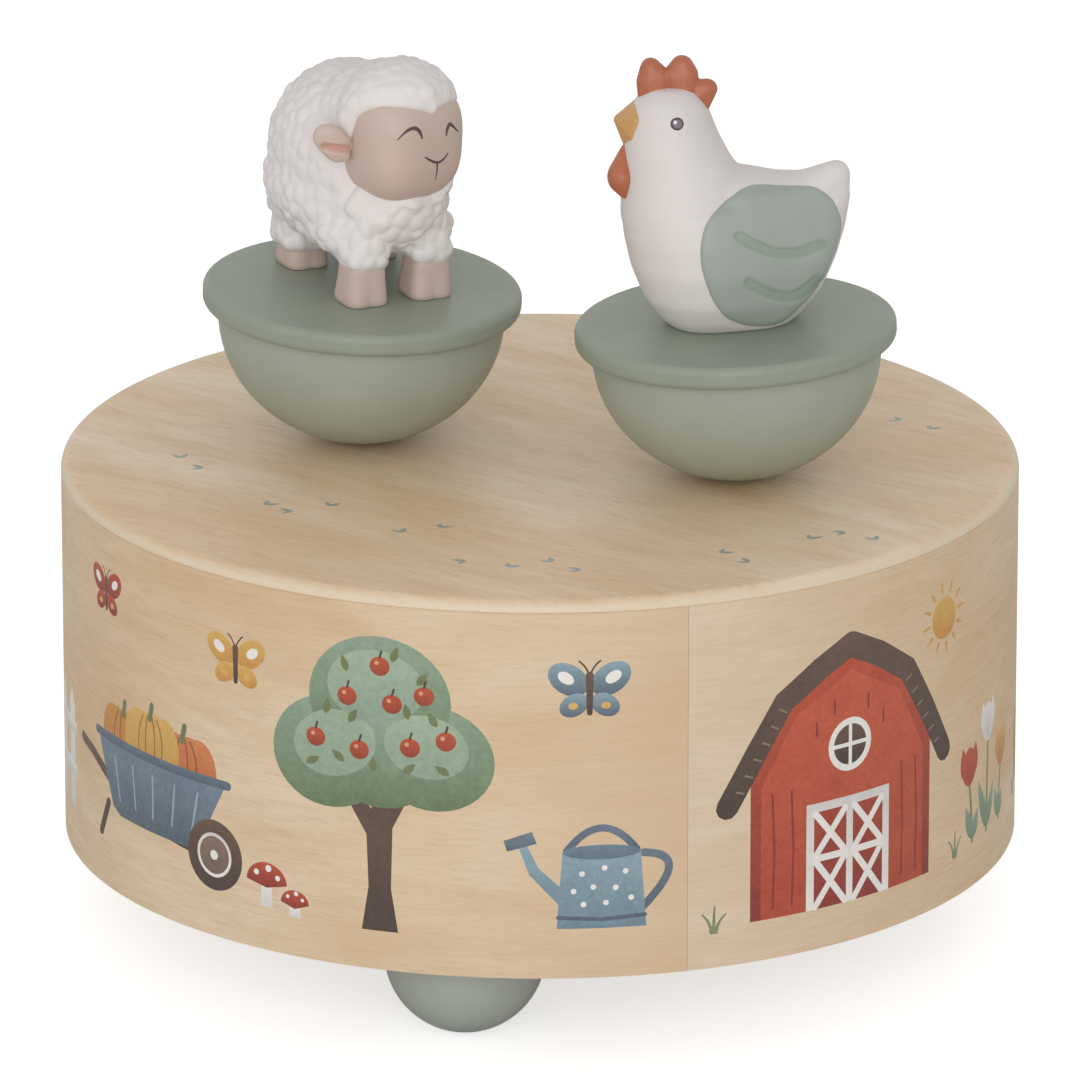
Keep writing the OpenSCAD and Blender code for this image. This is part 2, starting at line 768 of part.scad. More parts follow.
module governor_frame() {
    arm_l = worm_x + governor_arm_w / 2 - governor_frame_x;
    arm_y0 = worm_y - governor_arm_w / 2;
    wall_y0 = cylinder_r + pin_h + governor_wall_gap;
    wall_h = z_governor_arm + governor_arm_t - z_bed_top;
    color("goldenrod")
        difference() {
            union() {
                translate([governor_frame_x, wall_y0, z_bed_top])
                    cube([bracket_t, arm_y0 + governor_arm_w - wall_y0, wall_h]);
                translate([governor_frame_x, arm_y0, z_governor_arm])
                    cube([arm_l, governor_arm_w, governor_arm_t]);
                translate([governor_frame_x, arm_y0, z_bed_top])
                    cube([arm_l, governor_arm_w, governor_pad_t]);
                translate([governor_foot_x, governor_y, z_bed_top])
                    cube([governor_foot_l + bond, governor_foot_w, bracket_foot_t]);
            }
            translate([governor_frame_x - cut, governor_y, z_cyl])
                rotate([0, 90, 0])
                    cylinder(h = bracket_t + 2 * cut, r = governor_arbor_r + run_gap, $fn = small_fn);
            translate([worm_x, worm_y, z_bed_top + worm_bore_floor])
                cylinder(h = z_brake - z_bed_top, r = worm_spindle_r + run_gap, $fn = small_fn);
            at_foot_holes() pan_hole();
        }
}

// Winding side

module winding_arbor() {
    z_top = z_barrel_top - turn_gap;
    color("silver")
        union() {
            translate([0, 0, z_arbor_end]) cylinder(h = z_top - z_arbor_end, r = arbor_r, $fn = round_fn);
            translate([0, 0, z_crown + turn_gap])
                cylinder(h = z_top - z_crown - turn_gap, r = spring_core_r, $fn = round_fn);
        }
}

// Saw teeth, each with one steep and one sloping side
module ratchet_wheel() {
    step = 360 / ratchet_teeth;
    color("gold")
        translate([0, 0, z_ratchet])
            difference() {
                linear_extrude(ratchet_t)
                    polygon([
                        for (i = [0:ratchet_teeth - 1], k = [0, 1])
                            around(ratchet_r - 1 + k, (i + 0.08 * k) * step)
                    ]);
                translate([0, 0, -cut])
                    cylinder(h = ratchet_t + 2 * cut, r = arbor_r + glue_gap, $fn = round_fn);
            }
}

// The click stands lifted onto the tips of the ratchet teeth
module click() {
    way = (click_nose - click_pivot) / norm(click_nose - click_pivot);
    side = [-way.y, way.x];
    color("gold")
        translate([0, 0, z_ratchet])
            difference() {
                linear_extrude(ratchet_t - 0.2) {
                    translate(click_pivot) circle(r = click_boss_r, $fn = small_fn);
                    translate(click_nose) circle(r = click_nose_r, $fn = small_fn);
                    polygon([
                        click_pivot + side * 1.2, click_pivot - side * 1.2,
                        click_nose - side * click_nose_r, click_nose + side * click_nose_r
                    ]);
                }
                translate([click_pivot.x, click_pivot.y, -1])
                    cylinder(h = ratchet_t + 2 * cut, r = click_pin_r + run_gap, $fn = small_fn);
            }
}

// A butterfly key with solid wings
module winding_key() {
    lobe_x = key_w / 2 - key_lobe_r;
    color("silver")
        difference() {
            union() {
                translate([0, key_t / 2, 0])
                    rotate([90, 0, 0])
                        linear_extrude(key_t) {
                            for (s = [-1, 1])
                                translate([s * lobe_x, z_key + key_lobe_r])
                                    circle(r = key_lobe_r, $fn = round_fn);
                            translate([-lobe_x, z_key + 1.4])
                                square([2 * lobe_x, z_key_wing_top - z_key - 2.8]);
                        }
                translate([0, 0, z_arbor_end - cut])
                    cylinder(h = z_key_top - z_arbor_end + 1, r = key_hub_r, $fn = round_fn);
            }
            translate([0, 0, z_arbor_end])
                cylinder(h = z_key_top, r = arbor_r + glue_gap, $fn = round_fn);
        }
}

// Turning side

// A cup with a crown wheel around its foot, whose teeth point up
module spring_barrel() {
    color("gold")
        difference() {
            union() {
                translate([0, 0, z_barrel]) cylinder(h = barrel_floor, r = crown_out_r + 0.1, $fn = round_fn);
                translate([0, 0, z_barrel]) cylinder(h = barrel_h, r = barrel_r, $fn = round_fn);
                for (i = [0:crown_teeth - 1])
                    rotate((i + 0.5) * 360 / crown_teeth)
                        translate([crown_in_r, -crown_tooth_w / 2, z_crown - 0.1])
                            cube([crown_face, crown_tooth_w, crown_tooth_h + 0.1]);
            }
            translate([0, 0, z_crown])
                cylinder(h = barrel_h, r = barrel_r - barrel_wall, $fn = round_fn);
            translate([0, 0, z_barrel - cut]) cylinder(h = barrel_h, r = arbor_r + run_gap, $fn = round_fn);
        }
}

// One side of the wound strip, as points along the spiral
function spiral(r0, r1, turns, n) =
    [for (i = [0:n]) around(r0 + (r1 - r0) * i / n, 360 * turns * i / n)];

function reversed(points) = [for (i = [len(points) - 1:-1:0]) points[i]];

module mainspring() {
    r0 = spring_core_r + 0.15;
    r1 = barrel_r - barrel_wall - spring_strip_t - 0.05;
    n = spring_turns * 24;
    inner = spiral(r0, r1, spring_turns, n);
    outer = spiral(r0 + spring_strip_t, r1 + spring_strip_t, spring_turns, n);
    color("slategray")
        translate([0, 0, z_crown + spring_end_gap])
            linear_extrude(z_barrel_top - z_crown - 2 * spring_end_gap)
                polygon(concat(inner, reversed(outer)));
}

module barrel_cover() {
    color("gold")
        union() {
            translate([0, 0, z_barrel_top]) cylinder(h = cover_t, r = barrel_r, $fn = round_fn);
            translate([0, 0, z_barrel_top])
                cylinder(h = z_carrier + carrier_t - z_barrel_top, r = shaft_r, $fn = round_fn);
        }
}

module rotor_hub() {
    color("silver")
        difference() {
            union() {
                translate([0, 0, z_hub]) cylinder(h = hub_l, r = hub_r, $fn = round_fn);
                translate([0, 0, z_hub]) cylinder(h = hub_l + carrier_t, r = hub_spigot_r, $fn = round_fn);
            }
            translate([0, 0, z_hub - cut])
                cylinder(h = hub_l + carrier_t + 2, r = shaft_r + glue_gap, $fn = round_fn);
            rotate(carrier_angle + 90) translate([0, 0, z_hub + hub_l / 2])
                rotate([0, 90, 0]) cylinder(h = hub_r + 1, r = set_screw_r + glue_gap, $fn = small_fn);
        }
}

module set_screw() {
    color("dimgray")
        rotate(carrier_angle + 90)
            translate([shaft_r + 0.05, 0, z_hub + hub_l / 2])
                rotate([0, 90, 0])
                    difference() {
                        cylinder(h = hub_r - shaft_r - 0.3, r = set_screw_r, $fn = small_fn);
                        translate([0, 0, hub_r - shaft_r - cut]) cylinder(h = 2, r = 0.5, $fn = 6);
                    }
}

// A bar with a round pocket at each end, where the driving magnets sit
module magnet_carrier() {
    color("dimgray")
        rotate(carrier_angle)
            translate([0, 0, z_carrier])
                difference() {
                    union() {
                        translate([-orbit_r, -carrier_bar_w / 2, 0])
                            cube([2 * orbit_r, carrier_bar_w, carrier_t]);
                        cylinder(h = carrier_t, r = hub_r + 1.5, $fn = round_fn);
                        for (s = [-1, 1])
                            translate([s * orbit_r, 0, 0])
                                cylinder(h = carrier_t + carrier_rim_h, r = carrier_rim_r, $fn = round_fn);
                    }
                    for (s = [-1, 1])
                        translate([s * orbit_r, 0, carrier_t - magnet_pocket])
                            cylinder(h = 10, r = drive_magnet_d / 2 + glue_gap, $fn = round_fn);
                    translate([0, 0, -cut])
                        cylinder(h = carrier_t + 2 * cut, r = hub_spigot_r + glue_gap, $fn = round_fn);
                }
}

module drive_magnet(at) {
    color("silver")
        translate([at.x, at.y, z_drive_magnet])
            cylinder(h = drive_magnet_t, d = drive_magnet_d, $fn = round_fn);
}

module sheep_drive_magnet() {
    drive_magnet(sheep_drive);
}

module hen_drive_magnet() {
    drive_magnet(hen_drive);
}

// Melody cylinder and its gears

module cylinder_arbor() {
    x0 = pinion_x - 0.1;
    x1 = far_bracket_x + bracket_t + 0.3;
    color("silver")
        translate([x0, 0, z_cyl]) rotate([0, 90, 0]) cylinder(h = x1 - x0, r = cyl_arbor_r, $fn = small_fn);
}

module melody_cylinder() {
    color("gold")
        difference() {
            union() {
                translate([cylinder_x, 0, z_cyl])
                    rotate([0, 90, 0]) cylinder(h = cylinder_l, r = cylinder_r, $fn = round_fn);
                for (i = [0:notes - 1], k = [0:pins_per_note - 1])
                    translate([comb_x + (i + 0.5) * comb_pitch, 0, z_cyl])
                        rotate([137.5 * i + 360 * k / pins_per_note + 23 * (i % 3) * k, 0, 0])
                            cylinder(h = cylinder_r + pin_h, r = 0.2, $fn = 16);
            }
            translate([cylinder_x - cut, 0, z_cyl])
                rotate([0, 90, 0])
                    cylinder(h = cylinder_l + 2 * cut, r = cyl_arbor_r + glue_gap, $fn = small_fn);
        }
}

module cylinder_pinion() {
    color("silver")
        difference() {
            translate([pinion_x, 0, z_cyl])
                spur_gear(pinion_teeth, pinion_r, 0.6, 0.85, 0.45, 0.95, pinion_w, -90);
            translate([pinion_x - cut, 0, z_cyl])
                rotate([0, 90, 0])
                    cylinder(h = pinion_w + 2 * cut, r = cyl_arbor_r + glue_gap, $fn = small_fn);
        }
}

module cylinder_gear() {
    color("gold")
        difference() {
            translate([gear_x, 0, z_cyl])
                spur_gear(gear_teeth, gear_r, gear_module, gear_module * 1.3, 0.3, 0.85, gear_t, 0);
            translate([gear_x - cut, 0, z_cyl])
                rotate([0, 90, 0]) cylinder(h = gear_t + 2 * cut, r = cyl_arbor_r + glue_gap, $fn = small_fn);
        }
}

module governor_arbor() {
    x0 = governor_frame_x - 0.3;
    x1 = far_bracket_x + bracket_t + 0.3;
    color("silver")
        union() {
            translate([x0, governor_y, z_cyl])
                rotate([0, 90, 0]) cylinder(h = x1 - x0, r = governor_arbor_r, $fn = small_fn);
            translate([gear_x - 0.2, governor_y, z_cyl])
                spur_gear(governor_pinion_teeth, governor_pinion_r, gear_module * 0.9, gear_module * 1.2,
                          0.25, 0.7, gear_t + 0.4, 180 / governor_pinion_teeth);
        }
}

module governor_wheel() {
    color("gold")
        difference() {
            translate([wheel_x, governor_y, z_cyl])
                spur_gear(worm_wheel_teeth, worm_wheel_r, worm_wheel_tip, 0.6, 0.2, 0.6, worm_wheel_t, 0);
            translate([wheel_x - cut, governor_y, z_cyl])
                rotate([0, 90, 0])
                    cylinder(h = worm_wheel_t + 2 * cut, r = governor_arbor_r + glue_gap, $fn = small_fn);
        }
}

// A single-start worm: a round section that runs off centre around the spindle
module worm() {
    color("silver")
        union() {
            translate([worm_x, worm_y, z_worm_end])
                cylinder(h = z_brake + brake_h - z_worm_end, r = worm_spindle_r, $fn = small_fn);
            translate([worm_x, worm_y, z_worm])
                rotate(90 - 180 * worm_l / worm_pitch)
                linear_extrude(worm_l, twist = -360 * worm_l / worm_pitch, slices = 42)
                    translate([worm_throw, 0]) circle(r = worm_core_r, $fn = 12);
        }
}

module air_brake() {
    color("gold")
        translate([worm_x, worm_y, z_brake])
            difference() {
                union() {
                    cylinder(h = brake_h, r = worm_spindle_r + 0.6, $fn = small_fn);
                    translate([-brake_w / 2, -brake_blade_t / 2, 0]) cube([brake_w, brake_blade_t, brake_h]);
                }
                translate([0, 0, -cut])
                    cylinder(h = brake_h + 2 * cut, r = worm_spindle_r + glue_gap, $fn = small_fn);
            }
}

// Bowls

// The outline of half a bowl, from its lowest point up to its lip
function bowl_outline() = concat(
    [for (i = [0:bowl_steps])
        [bowl_r * sin(90 * i / bowl_steps), bowl_depth * (1 - cos(90 * i / bowl_steps))]],
    [[bowl_r, z_disc], [0, z_disc]]
);

module bowl() {
    color("darkseagreen")
        difference() {
            rotate_extrude($fn = round_fn) polygon(bowl_outline());
            translate([0, 0, bowl_floor]) cylinder(h = z_disc, r = bowl_bore_r, $fn = round_fn);
        }
}

module bowl_magnet() {
    color("silver")
        translate([0, 0, bowl_floor + 0.05]) cylinder(h = bowl_magnet_t, d = bowl_magnet_d, $fn = round_fn);
}

module bowl_dowel() {
    z0 = bowl_floor + bowl_magnet_t + turn_gap;
    color("wheat")
        translate([0, 0, z0]) cylinder(h = z_disc + dowel_in_disc - z0, d = bowl_magnet_d, $fn = round_fn);
}

// A disc with rounded edges
module disc(pin_places) {
    rr = disc_round_r;
    color("cadetblue")
        difference() {
            translate([0, 0, z_disc])
                rotate_extrude($fn = round_fn) {
                    square([disc_r - rr, disc_t]);
                    translate([0, rr]) square([disc_r, disc_t - 2 * rr]);
                    translate([disc_r - rr, rr]) circle(r = rr, $fn = small_fn);
                    translate([disc_r - rr, disc_t - rr]) circle(r = rr, $fn = small_fn);
                }
            translate([0, 0, z_disc - cut])
                cylinder(h = dowel_in_disc + 1 + drop_gap, r = bowl_bore_r, $fn = round_fn);
            for (p = pin_places)
                translate([p.x, p.y, z_deck - figure_pin_in_disc - 0.05])
                    cylinder(h = 3, d = figure_pin_d + drop_gap, $fn = small_fn);
        }
}

module figure_pins(pin_places) {
    color("silver")
        for (p = pin_places)
            translate([p.x, p.y, z_deck - figure_pin_in_disc])
                cylinder(h = figure_pin_l, d = figure_pin_d, $fn = small_fn);
}

// Sheep

// Turns a place in the frame of the sheep into a place on its disc
function on_disc(p) = sheep_spot + [
    p.x * cos(sheep_heading) - p.y * sin(sheep_heading),
    p.x * sin(sheep_heading) + p.y * cos(sheep_heading)
];
sheep_pin_places = [on_disc(sheep_legs[0]), on_disc(sheep_legs[3])];

// Evenly spread directions on a ball, as a golden spiral
function spread(i, n) =
    let (z = 1 - 2 * (i + 0.5) / n, r = sqrt(1 - z * z), a = 137.508 * i)
    [r * cos(a), r * sin(a), z];

module ellipsoid(size) {
    scale(size / 2) sphere(r = 1, $fn = 20);
}

module curl(at, r) {
    hull() translate(at) sphere(r = r, $fn = 7);
}

module sheep_wool() {
    body_size = [sheep_body_l, sheep_body_w, sheep_body_h];
    translate(sheep_body_at) {
        ellipsoid(body_size - [1, 1, 1]);
        for (i = [0:body_curls - 1]) {
            d = spread(i, body_curls);
            curl([for (k = [0:2]) d[k] * (body_size[k] / 2 - curl_r)], curl_r);
        }
    }
    translate(sheep_head_at)
        rotate(sheep_head_turn) {
            ellipsoid([2, 2, 2] * (sheep_head_r - 0.4));
            for (i = [0:head_curls - 1]) {
                d = spread(i, head_curls);
                if (d.z > -0.3 && d.x < 0.75)
                    curl(d * (sheep_head_r - curl_r * 0.8), curl_r * 0.85);
            }
        }
    hull() {
        translate([4.8, 0, 13]) ellipsoid([12, 16, 15]);
        translate([4.8, 0, 19]) ellipsoid([10, 13, 10]);
    }
    translate(sheep_body_at - [0.4, 0, sheep_body_h * 0.2])
        ellipsoid([sheep_body_l * 0.93, sheep_body_w * 0.97, sheep_body_h * 0.6]);
}

// A flared hoof with a woolly thigh of the given width above it
module sheep_leg(thigh) {
    cylinder(h = hoof_h, d1 = sheep_hoof_d, d2 = sheep_hoof_d * 0.8, $fn = 16);
    translate([0, 0, hoof_h]) cylinder(h = 4, d = sheep_hoof_d * 0.8, $fn = 16);
    hull() {
        translate([0, 0, hoof_h + 1.6]) ellipsoid([thigh - 0.6, thigh - 0.6, 3.6]);
        translate([0, 0, hoof_h + 5]) ellipsoid([thigh, thigh, 4]);
    }
}

module sheep_head() {
    translate(sheep_face_at) rotate(sheep_head_turn) ellipsoid(sheep_face_size);
    for (s = [-1, 1])
        translate(sheep_face_at + [-2, s * 6.6, 1])
            rotate([0, 0, s * 115]) rotate([s * 20, 0, 0]) translate([1.4, 0, 0]) ellipsoid([6, 2, 4.2]);
}

module sheep() {
    color("white")
        on_lid(sheep_at, sheep_lean)
            difference() {
                translate([sheep_spot.x, sheep_spot.y, z_deck])
                    rotate(sheep_heading) {
                        sheep_wool();
                        sheep_head();
                        for (p = sheep_legs)
                            translate([p.x, p.y, 0])
                                sheep_leg(p.x > 0 ? sheep_thigh_front : sheep_thigh_back);
                    }
                for (p = sheep_pin_places)
                    translate([p.x, p.y, z_deck - cut])
                        cylinder(h = figure_pin_l + 1, d = figure_pin_d + drop_gap, $fn = 16);
            }
}

// Hen

// A slice of the body: round at the breast and narrower at the back
module hen_slice(row, tail) {
    r = row[3] * hen_k;
    translate([row[1], 0, row[0]])
        hull() {
            translate([min(r, (row[2] - row[1]) / 2), 0, 0]) cylinder(h = 0.05, r = r, $fn = 24);
            translate([row[2] - row[1] - tail, 0, 0]) cylinder(h = 0.05, r = tail, $fn = 16);
        }
}

// Joins neighbouring slices
module hen_stack(rows, tails) {
    for (i = [0:len(rows) - 2])
        hull() {
            hen_slice(rows[i], tails[i]);
            hen_slice(rows[i + 1], tails[i + 1]);
        }
}

module hen_body() {
    hen_stack(hen_rows, [5, 5.6, 6, 5.6, 4.6, 3.4, 2.6]);
    hen_stack(hen_neck_rows, [6.4, 6, 5.4, 4.8, 4, 2.6]);
    hull() {
        translate([3, 0, hen_back_z - 3.4]) ellipsoid([12, 12, 7]);
        translate([-2, 0, hen_back_z - 2.6]) ellipsoid([10, 12, 7]);
    }
    hull() {
        translate([12.8, 0, 18.9]) ellipsoid([3.4, 3, 3.6]);
        translate([8.4, 0, 16.4]) ellipsoid([7, 8.6, 6.4]);
        translate([12, 0, 14]) ellipsoid([4.6, 5, 6]);
    }
}

module hen_wing(s) {
    hull() {
        translate([2.6, s * (hen_w / 2 - 2.4), 10]) ellipsoid([13, 5, 15.5]);
        translate([8.2, s * (hen_w / 2 - 4.2), 12.6]) ellipsoid([10, 5, 13]);
    }
}

module hen_head() {
    for (lobe = hen_comb_lobes)
        hull() {
            translate([lobe.x, 0, lobe.y]) ellipsoid([lobe.z * 2, 3.2, lobe.z * 2]);
            translate([lobe.x * 0.5 - 3.4, 0, 28.4]) ellipsoid([3, 2.6, 3]);
        }
    hull() {
        translate([-13.8, 0, 26.8]) ellipsoid([0.9, 0.9, 0.9]);
        translate([-11.2, 0, 26.4]) ellipsoid([1.6, 4, 4.8]);
    }
    hull() {
        translate([-13.9, 0, 19]) ellipsoid([2.8, 2.6, 4.4]);
        translate([-12.6, 0, 21.6]) ellipsoid([1.4, 1.8, 2.4]);
    }
}

module hen() {
    color("white")
        on_lid(hen_at, hen_lean)
            translate([0, 0, z_deck])
                difference() {
                    union() {
                        hen_body();
                        hen_head();
                        hen_wing(-1);
                        hen_wing(1);
                    }
                    for (p = hen_pin_places)
                        translate([p.x, p.y, -cut])
                            cylinder(h = figure_pin_l + 1, d = figure_pin_d + drop_gap, $fn = 16);
                    translate([0, 0, -5]) cube([60, 60, 10], center = true);
                }
}

module sheep_magnet() {
    on_lid(sheep_at, sheep_lean) bowl_magnet();
}

module sheep_bowl() {
    on_lid(sheep_at, sheep_lean) bowl();
}

module sheep_dowel() {
    on_lid(sheep_at, sheep_lean) bowl_dowel();
}

module sheep_disc() {
    on_lid(sheep_at, sheep_lean) disc(sheep_pin_places);
}

module sheep_pins() {
    on_lid(sheep_at, sheep_lean) figure_pins(sheep_pin_places);
}

module hen_magnet() {
    on_lid(hen_at, hen_lean) bowl_magnet();
}

module hen_bowl() {
    on_lid(hen_at, hen_lean) bowl();
}

module hen_dowel() {
    on_lid(hen_at, hen_lean) bowl_dowel();
}

module hen_disc() {
    on_lid(hen_at, hen_lean) disc(hen_pin_places);
}

module hen_pins() {
    on_lid(hen_at, hen_lean) figure_pins(hen_pin_places);
}

core_ring();
veneer_wrap();
top_plate();
bottom_plate();
front_foot();
right_foot();
left_foot();
foot_screws();
bottom_plate_screws();
mounting_screws();
bedplate();
barrel_bridge();
near_bracket();
far_bracket();
comb_base();
comb();
movement_screws();
governor_frame();
winding_arbor();
ratchet_wheel();
winding_key();
click();
spring_barrel();
mainspring();
barrel_cover();
rotor_hub();
set_screw();
magnet_carrier();
sheep_drive_magnet();
hen_drive_magnet();
cylinder_arbor();
melody_cylinder();
cylinder_pinion();
cylinder_gear();
governor_arbor();
governor_wheel();
worm();
air_brake();
sheep_magnet();
sheep_bowl();
sheep_dowel();
sheep_disc();
sheep_pins();
sheep();
hen_magnet();
hen_bowl();
hen_dowel();
hen_disc();
hen_pins();
hen();
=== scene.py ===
import json
import math

import bmesh
import bpy
import numpy as np
from mathutils import Matrix, Vector, geometry
from mathutils.bvhtree import BVHTree
from mathutils.kdtree import KDTree


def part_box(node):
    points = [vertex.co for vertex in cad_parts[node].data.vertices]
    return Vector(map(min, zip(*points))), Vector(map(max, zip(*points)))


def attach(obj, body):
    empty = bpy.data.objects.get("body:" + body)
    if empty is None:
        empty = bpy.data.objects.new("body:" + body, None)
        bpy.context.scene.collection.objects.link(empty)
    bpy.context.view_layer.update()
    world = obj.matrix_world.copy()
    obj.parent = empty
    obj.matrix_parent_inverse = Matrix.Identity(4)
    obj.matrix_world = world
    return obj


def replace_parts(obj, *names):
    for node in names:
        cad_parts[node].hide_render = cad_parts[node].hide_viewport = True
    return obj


# The looks of the toy music box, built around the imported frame.
# Shapes are drawn in millimetres and turned into metres when they become objects.

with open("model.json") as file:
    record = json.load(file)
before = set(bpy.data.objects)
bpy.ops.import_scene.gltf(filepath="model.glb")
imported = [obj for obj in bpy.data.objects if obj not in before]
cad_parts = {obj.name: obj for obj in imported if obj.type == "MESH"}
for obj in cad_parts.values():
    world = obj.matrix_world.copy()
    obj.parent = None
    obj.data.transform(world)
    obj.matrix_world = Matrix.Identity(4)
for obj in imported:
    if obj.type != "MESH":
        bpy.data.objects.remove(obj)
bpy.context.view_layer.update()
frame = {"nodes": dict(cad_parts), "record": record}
MM = 0.001
# Points of a flat outline that lie closer to its edge than this are on it
ON_EDGE = 1e-3


def top(node):
    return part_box(node)[1] / MM


def bottom(node):
    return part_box(node)[0] / MM


# Sizes of the drum, read from the frame, and a few that no box shows, as in the CAD source
DRUM_R = top("veneer_wrap").x
VENEER_T = 0.8
VENEER_IN_R = DRUM_R - VENEER_T
Z_BASE = bottom("veneer_wrap").z
Z_RIM = top("veneer_wrap").z
Z_LID = top("top_plate").z
Z_LID_UNDER = bottom("top_plate").z
LID_PLUG_R = 52.1
LID_ROUND = Z_LID - Z_RIM
SEAM_ANGLE = math.radians(-72.6)
# The joint in the sheet shows as a hairline, narrower than in the CAD
SEAM_GAP = 0.04

# Frames of the two figures, as in the CAD source
BOWL_R = 18.0
BOWL_DEPTH = 16.4
BOWL_LIP = 0.8
DISC_T = 2.9
PIVOT_H = BOWL_R**2 / BOWL_DEPTH
Z_DECK = BOWL_DEPTH + BOWL_LIP + DISC_T
BOWL_GAP = 0.08
FIGURES = {
    "sheep": {"at": (-22.206, 5.540), "lean": (2.2, 2.6), "spot": (0.5, 1.85), "heading": -62.0},
    "hen": {"at": (24.206, -9.540), "lean": (0.9, -2.6), "spot": (0.0, 0.0), "heading": 0.0},
}


def turn(axis, degrees):
    return Matrix.Rotation(math.radians(degrees), 4, axis)


def figure_frame(name):
    """From the figure's own frame, which stands on its disc, to the frame of the whole object."""
    f = FIGURES[name]
    return (
        Matrix.Translation((f["at"][0], f["at"][1], Z_LID + BOWL_GAP + PIVOT_H))
        @ turn("Y", f["lean"][1])
        @ turn("X", f["lean"][0])
        @ Matrix.Translation((f["spot"][0], f["spot"][1], Z_DECK - PIVOT_H))
        @ turn("Z", f["heading"])
    )


# ---------------------------------------------------------------- materials


def srgb(r, g, b):
    """The linear colour of a 0-255 screen colour."""
    def lin(c):
        c = c / 255
        return c / 12.92 if c <= 0.04045 else ((c + 0.055) / 1.055) ** 2.4
    return (lin(r), lin(g), lin(b), 1.0)


def dim(colour, share):
    """A darker screen colour."""
    return tuple(int(c * share) for c in colour)


def scaled(colour, share):
    """A linear colour, darker or lighter."""
    return tuple(min(1.0, c * share) for c in colour[:3]) + (1.0,)


class Nodes:
    """A node tree while it is being put together."""

    def __init__(self, tree):
        self.tree = tree

    def set(self, node, socket, value):
        node.inputs[socket].default_value = value

    def add(self, kind, **settings):
        node = self.tree.nodes.new(kind)
        for k, v in settings.items():
            setattr(node, k, v)
        return node

    def link(self, source, target):
        self.tree.links.new(source, target)

    def attribute(self, name, output):
        """One output of a named attribute of the mesh."""
        return self.add("ShaderNodeAttribute", attribute_name=name).outputs[output]


class Look(Nodes):
    """A node material while it is being put together."""

    def __init__(self, name, colour, roughness, metallic=0.0, coat=0.0, coat_roughness=0.2, specular=0.5):
        self.material = bpy.data.materials.new(name)
        self.material.use_nodes = True
        self.material.diffuse_color = colour
        super().__init__(self.material.node_tree)
        self.roughness = roughness
        self.surface = next(n for n in self.tree.nodes if n.type == "BSDF_PRINCIPLED")
        self.set(self.surface, "Base Color", colour)
        self.set(self.surface, "Roughness", roughness)
        self.set(self.surface, "Metallic", metallic)
        self.set(self.surface, "Coat Weight", coat)
        self.set(self.surface, "Coat Roughness", coat_roughness)
        self.set(self.surface, "Specular IOR Level", specular)

    def place(self, scale, rotation=(0, 0, 0), attribute=None):
        """Coordinates in metres times scale, from the object or from a named attribute."""
        if attribute:
            source = self.attribute(attribute, "Vector")
        else:
            source = self.add("ShaderNodeTexCoord").outputs["Object"]
        mapping = self.add("ShaderNodeMapping", vector_type="TEXTURE")
        self.set(mapping, "Rotation", [math.radians(a) for a in rotation])
        self.set(mapping, "Scale", [1 / s for s in scale])
        self.link(source, mapping.inputs["Vector"])
        return mapping.outputs["Vector"]

    def noise(self, where, detail=2.0, roughness=0.5, distortion=0.0):
        """Noise over coordinates that place() gives, or over the object's at one scale for all axes."""
        where = self.place((where,) * 3) if isinstance(where, int) else where
        node = self.add("ShaderNodeTexNoise")
        self.set(node, "Scale", 1.0)
        self.set(node, "Detail", detail)
        self.set(node, "Roughness", roughness)
        self.set(node, "Distortion", distortion)
        self.link(where, node.inputs["Vector"])
        return node.outputs["Fac"]

    def ramp(self, factor, *stops):
        """Colours or grey values at places between 0 and 1."""
        node = self.add("ShaderNodeValToRGB")
        ramp = node.color_ramp
        while len(ramp.elements) < len(stops):
            ramp.elements.new(0.5)
        for element, (place, value) in zip(ramp.elements, stops):
            element.position = place
            element.color = value if isinstance(value, tuple) else (value, value, value, 1)
        self.link(factor, node.inputs["Fac"])
        return node.outputs["Color"]

    def vary(self, field, low, high):
        """From one colour or value to another over the middle of a noise field."""
        return self.ramp(field, (0.3, low), (0.7, high))

    def mix(self, factor, a, b, blend="MIX"):
        node = self.add("ShaderNodeMix", data_type="RGBA", blend_type=blend)
        for socket, value in (("Factor", factor), ("A", a), ("B", b)):
            target = next(i for i in node.inputs if i.name == socket and i.enabled)
            if isinstance(value, (int, float, tuple)):
                target.default_value = value
            else:
                self.link(value, target)
        return next(o for o in node.outputs if o.enabled)

    def colour(self, source):
        self.link(source, self.surface.inputs["Base Color"])

    def gloss(self, field, below, above):
        """Roughness that varies around the surface's own."""
        self.link(self.vary(field, self.roughness - below, self.roughness + above), self.surface.inputs["Roughness"])

    def bump(self, height, depth_mm, strength):
        node = self.add("ShaderNodeBump")
        self.set(node, "Strength", strength)
        self.set(node, "Distance", depth_mm * MM)
        self.link(height, node.inputs["Height"])
        self.link(node.outputs["Normal"], self.surface.inputs["Normal"])


def paint(name, colour, roughness, spread, attribute=None):
    """Satin paint with faint clouding, fine orange peel and slightly uneven gloss."""
    base = srgb(*colour)
    look = Look(name, base, roughness, specular=0.4)
    tone = look.vary(look.noise(160, 3, 0.6), scaled(base, 1 - spread), scaled(base, 1 + spread))
    if attribute:
        tone = look.mix(1.0, tone, look.attribute(attribute, "Color"), "MULTIPLY")
    look.colour(tone)
    peel = look.noise(1500)
    look.gloss(peel, 0.05, 0.06)
    look.bump(peel, 0.02, 0.6)
    return look.material


def metal(name, colour, roughness, grain=(400, 400, 4000)):
    """Metal with fine machining marks and a little tarnish."""
    base = srgb(*colour)
    look = Look(name, base, roughness, metallic=1.0)
    look.colour(look.vary(look.noise(300, 3, 0.6), scaled(base, 0.88), base))
    marks = look.noise(look.place(grain))
    look.gloss(marks, 0.03, 0.06)
    look.bump(marks, 0.003, 0.3)
    return look.material


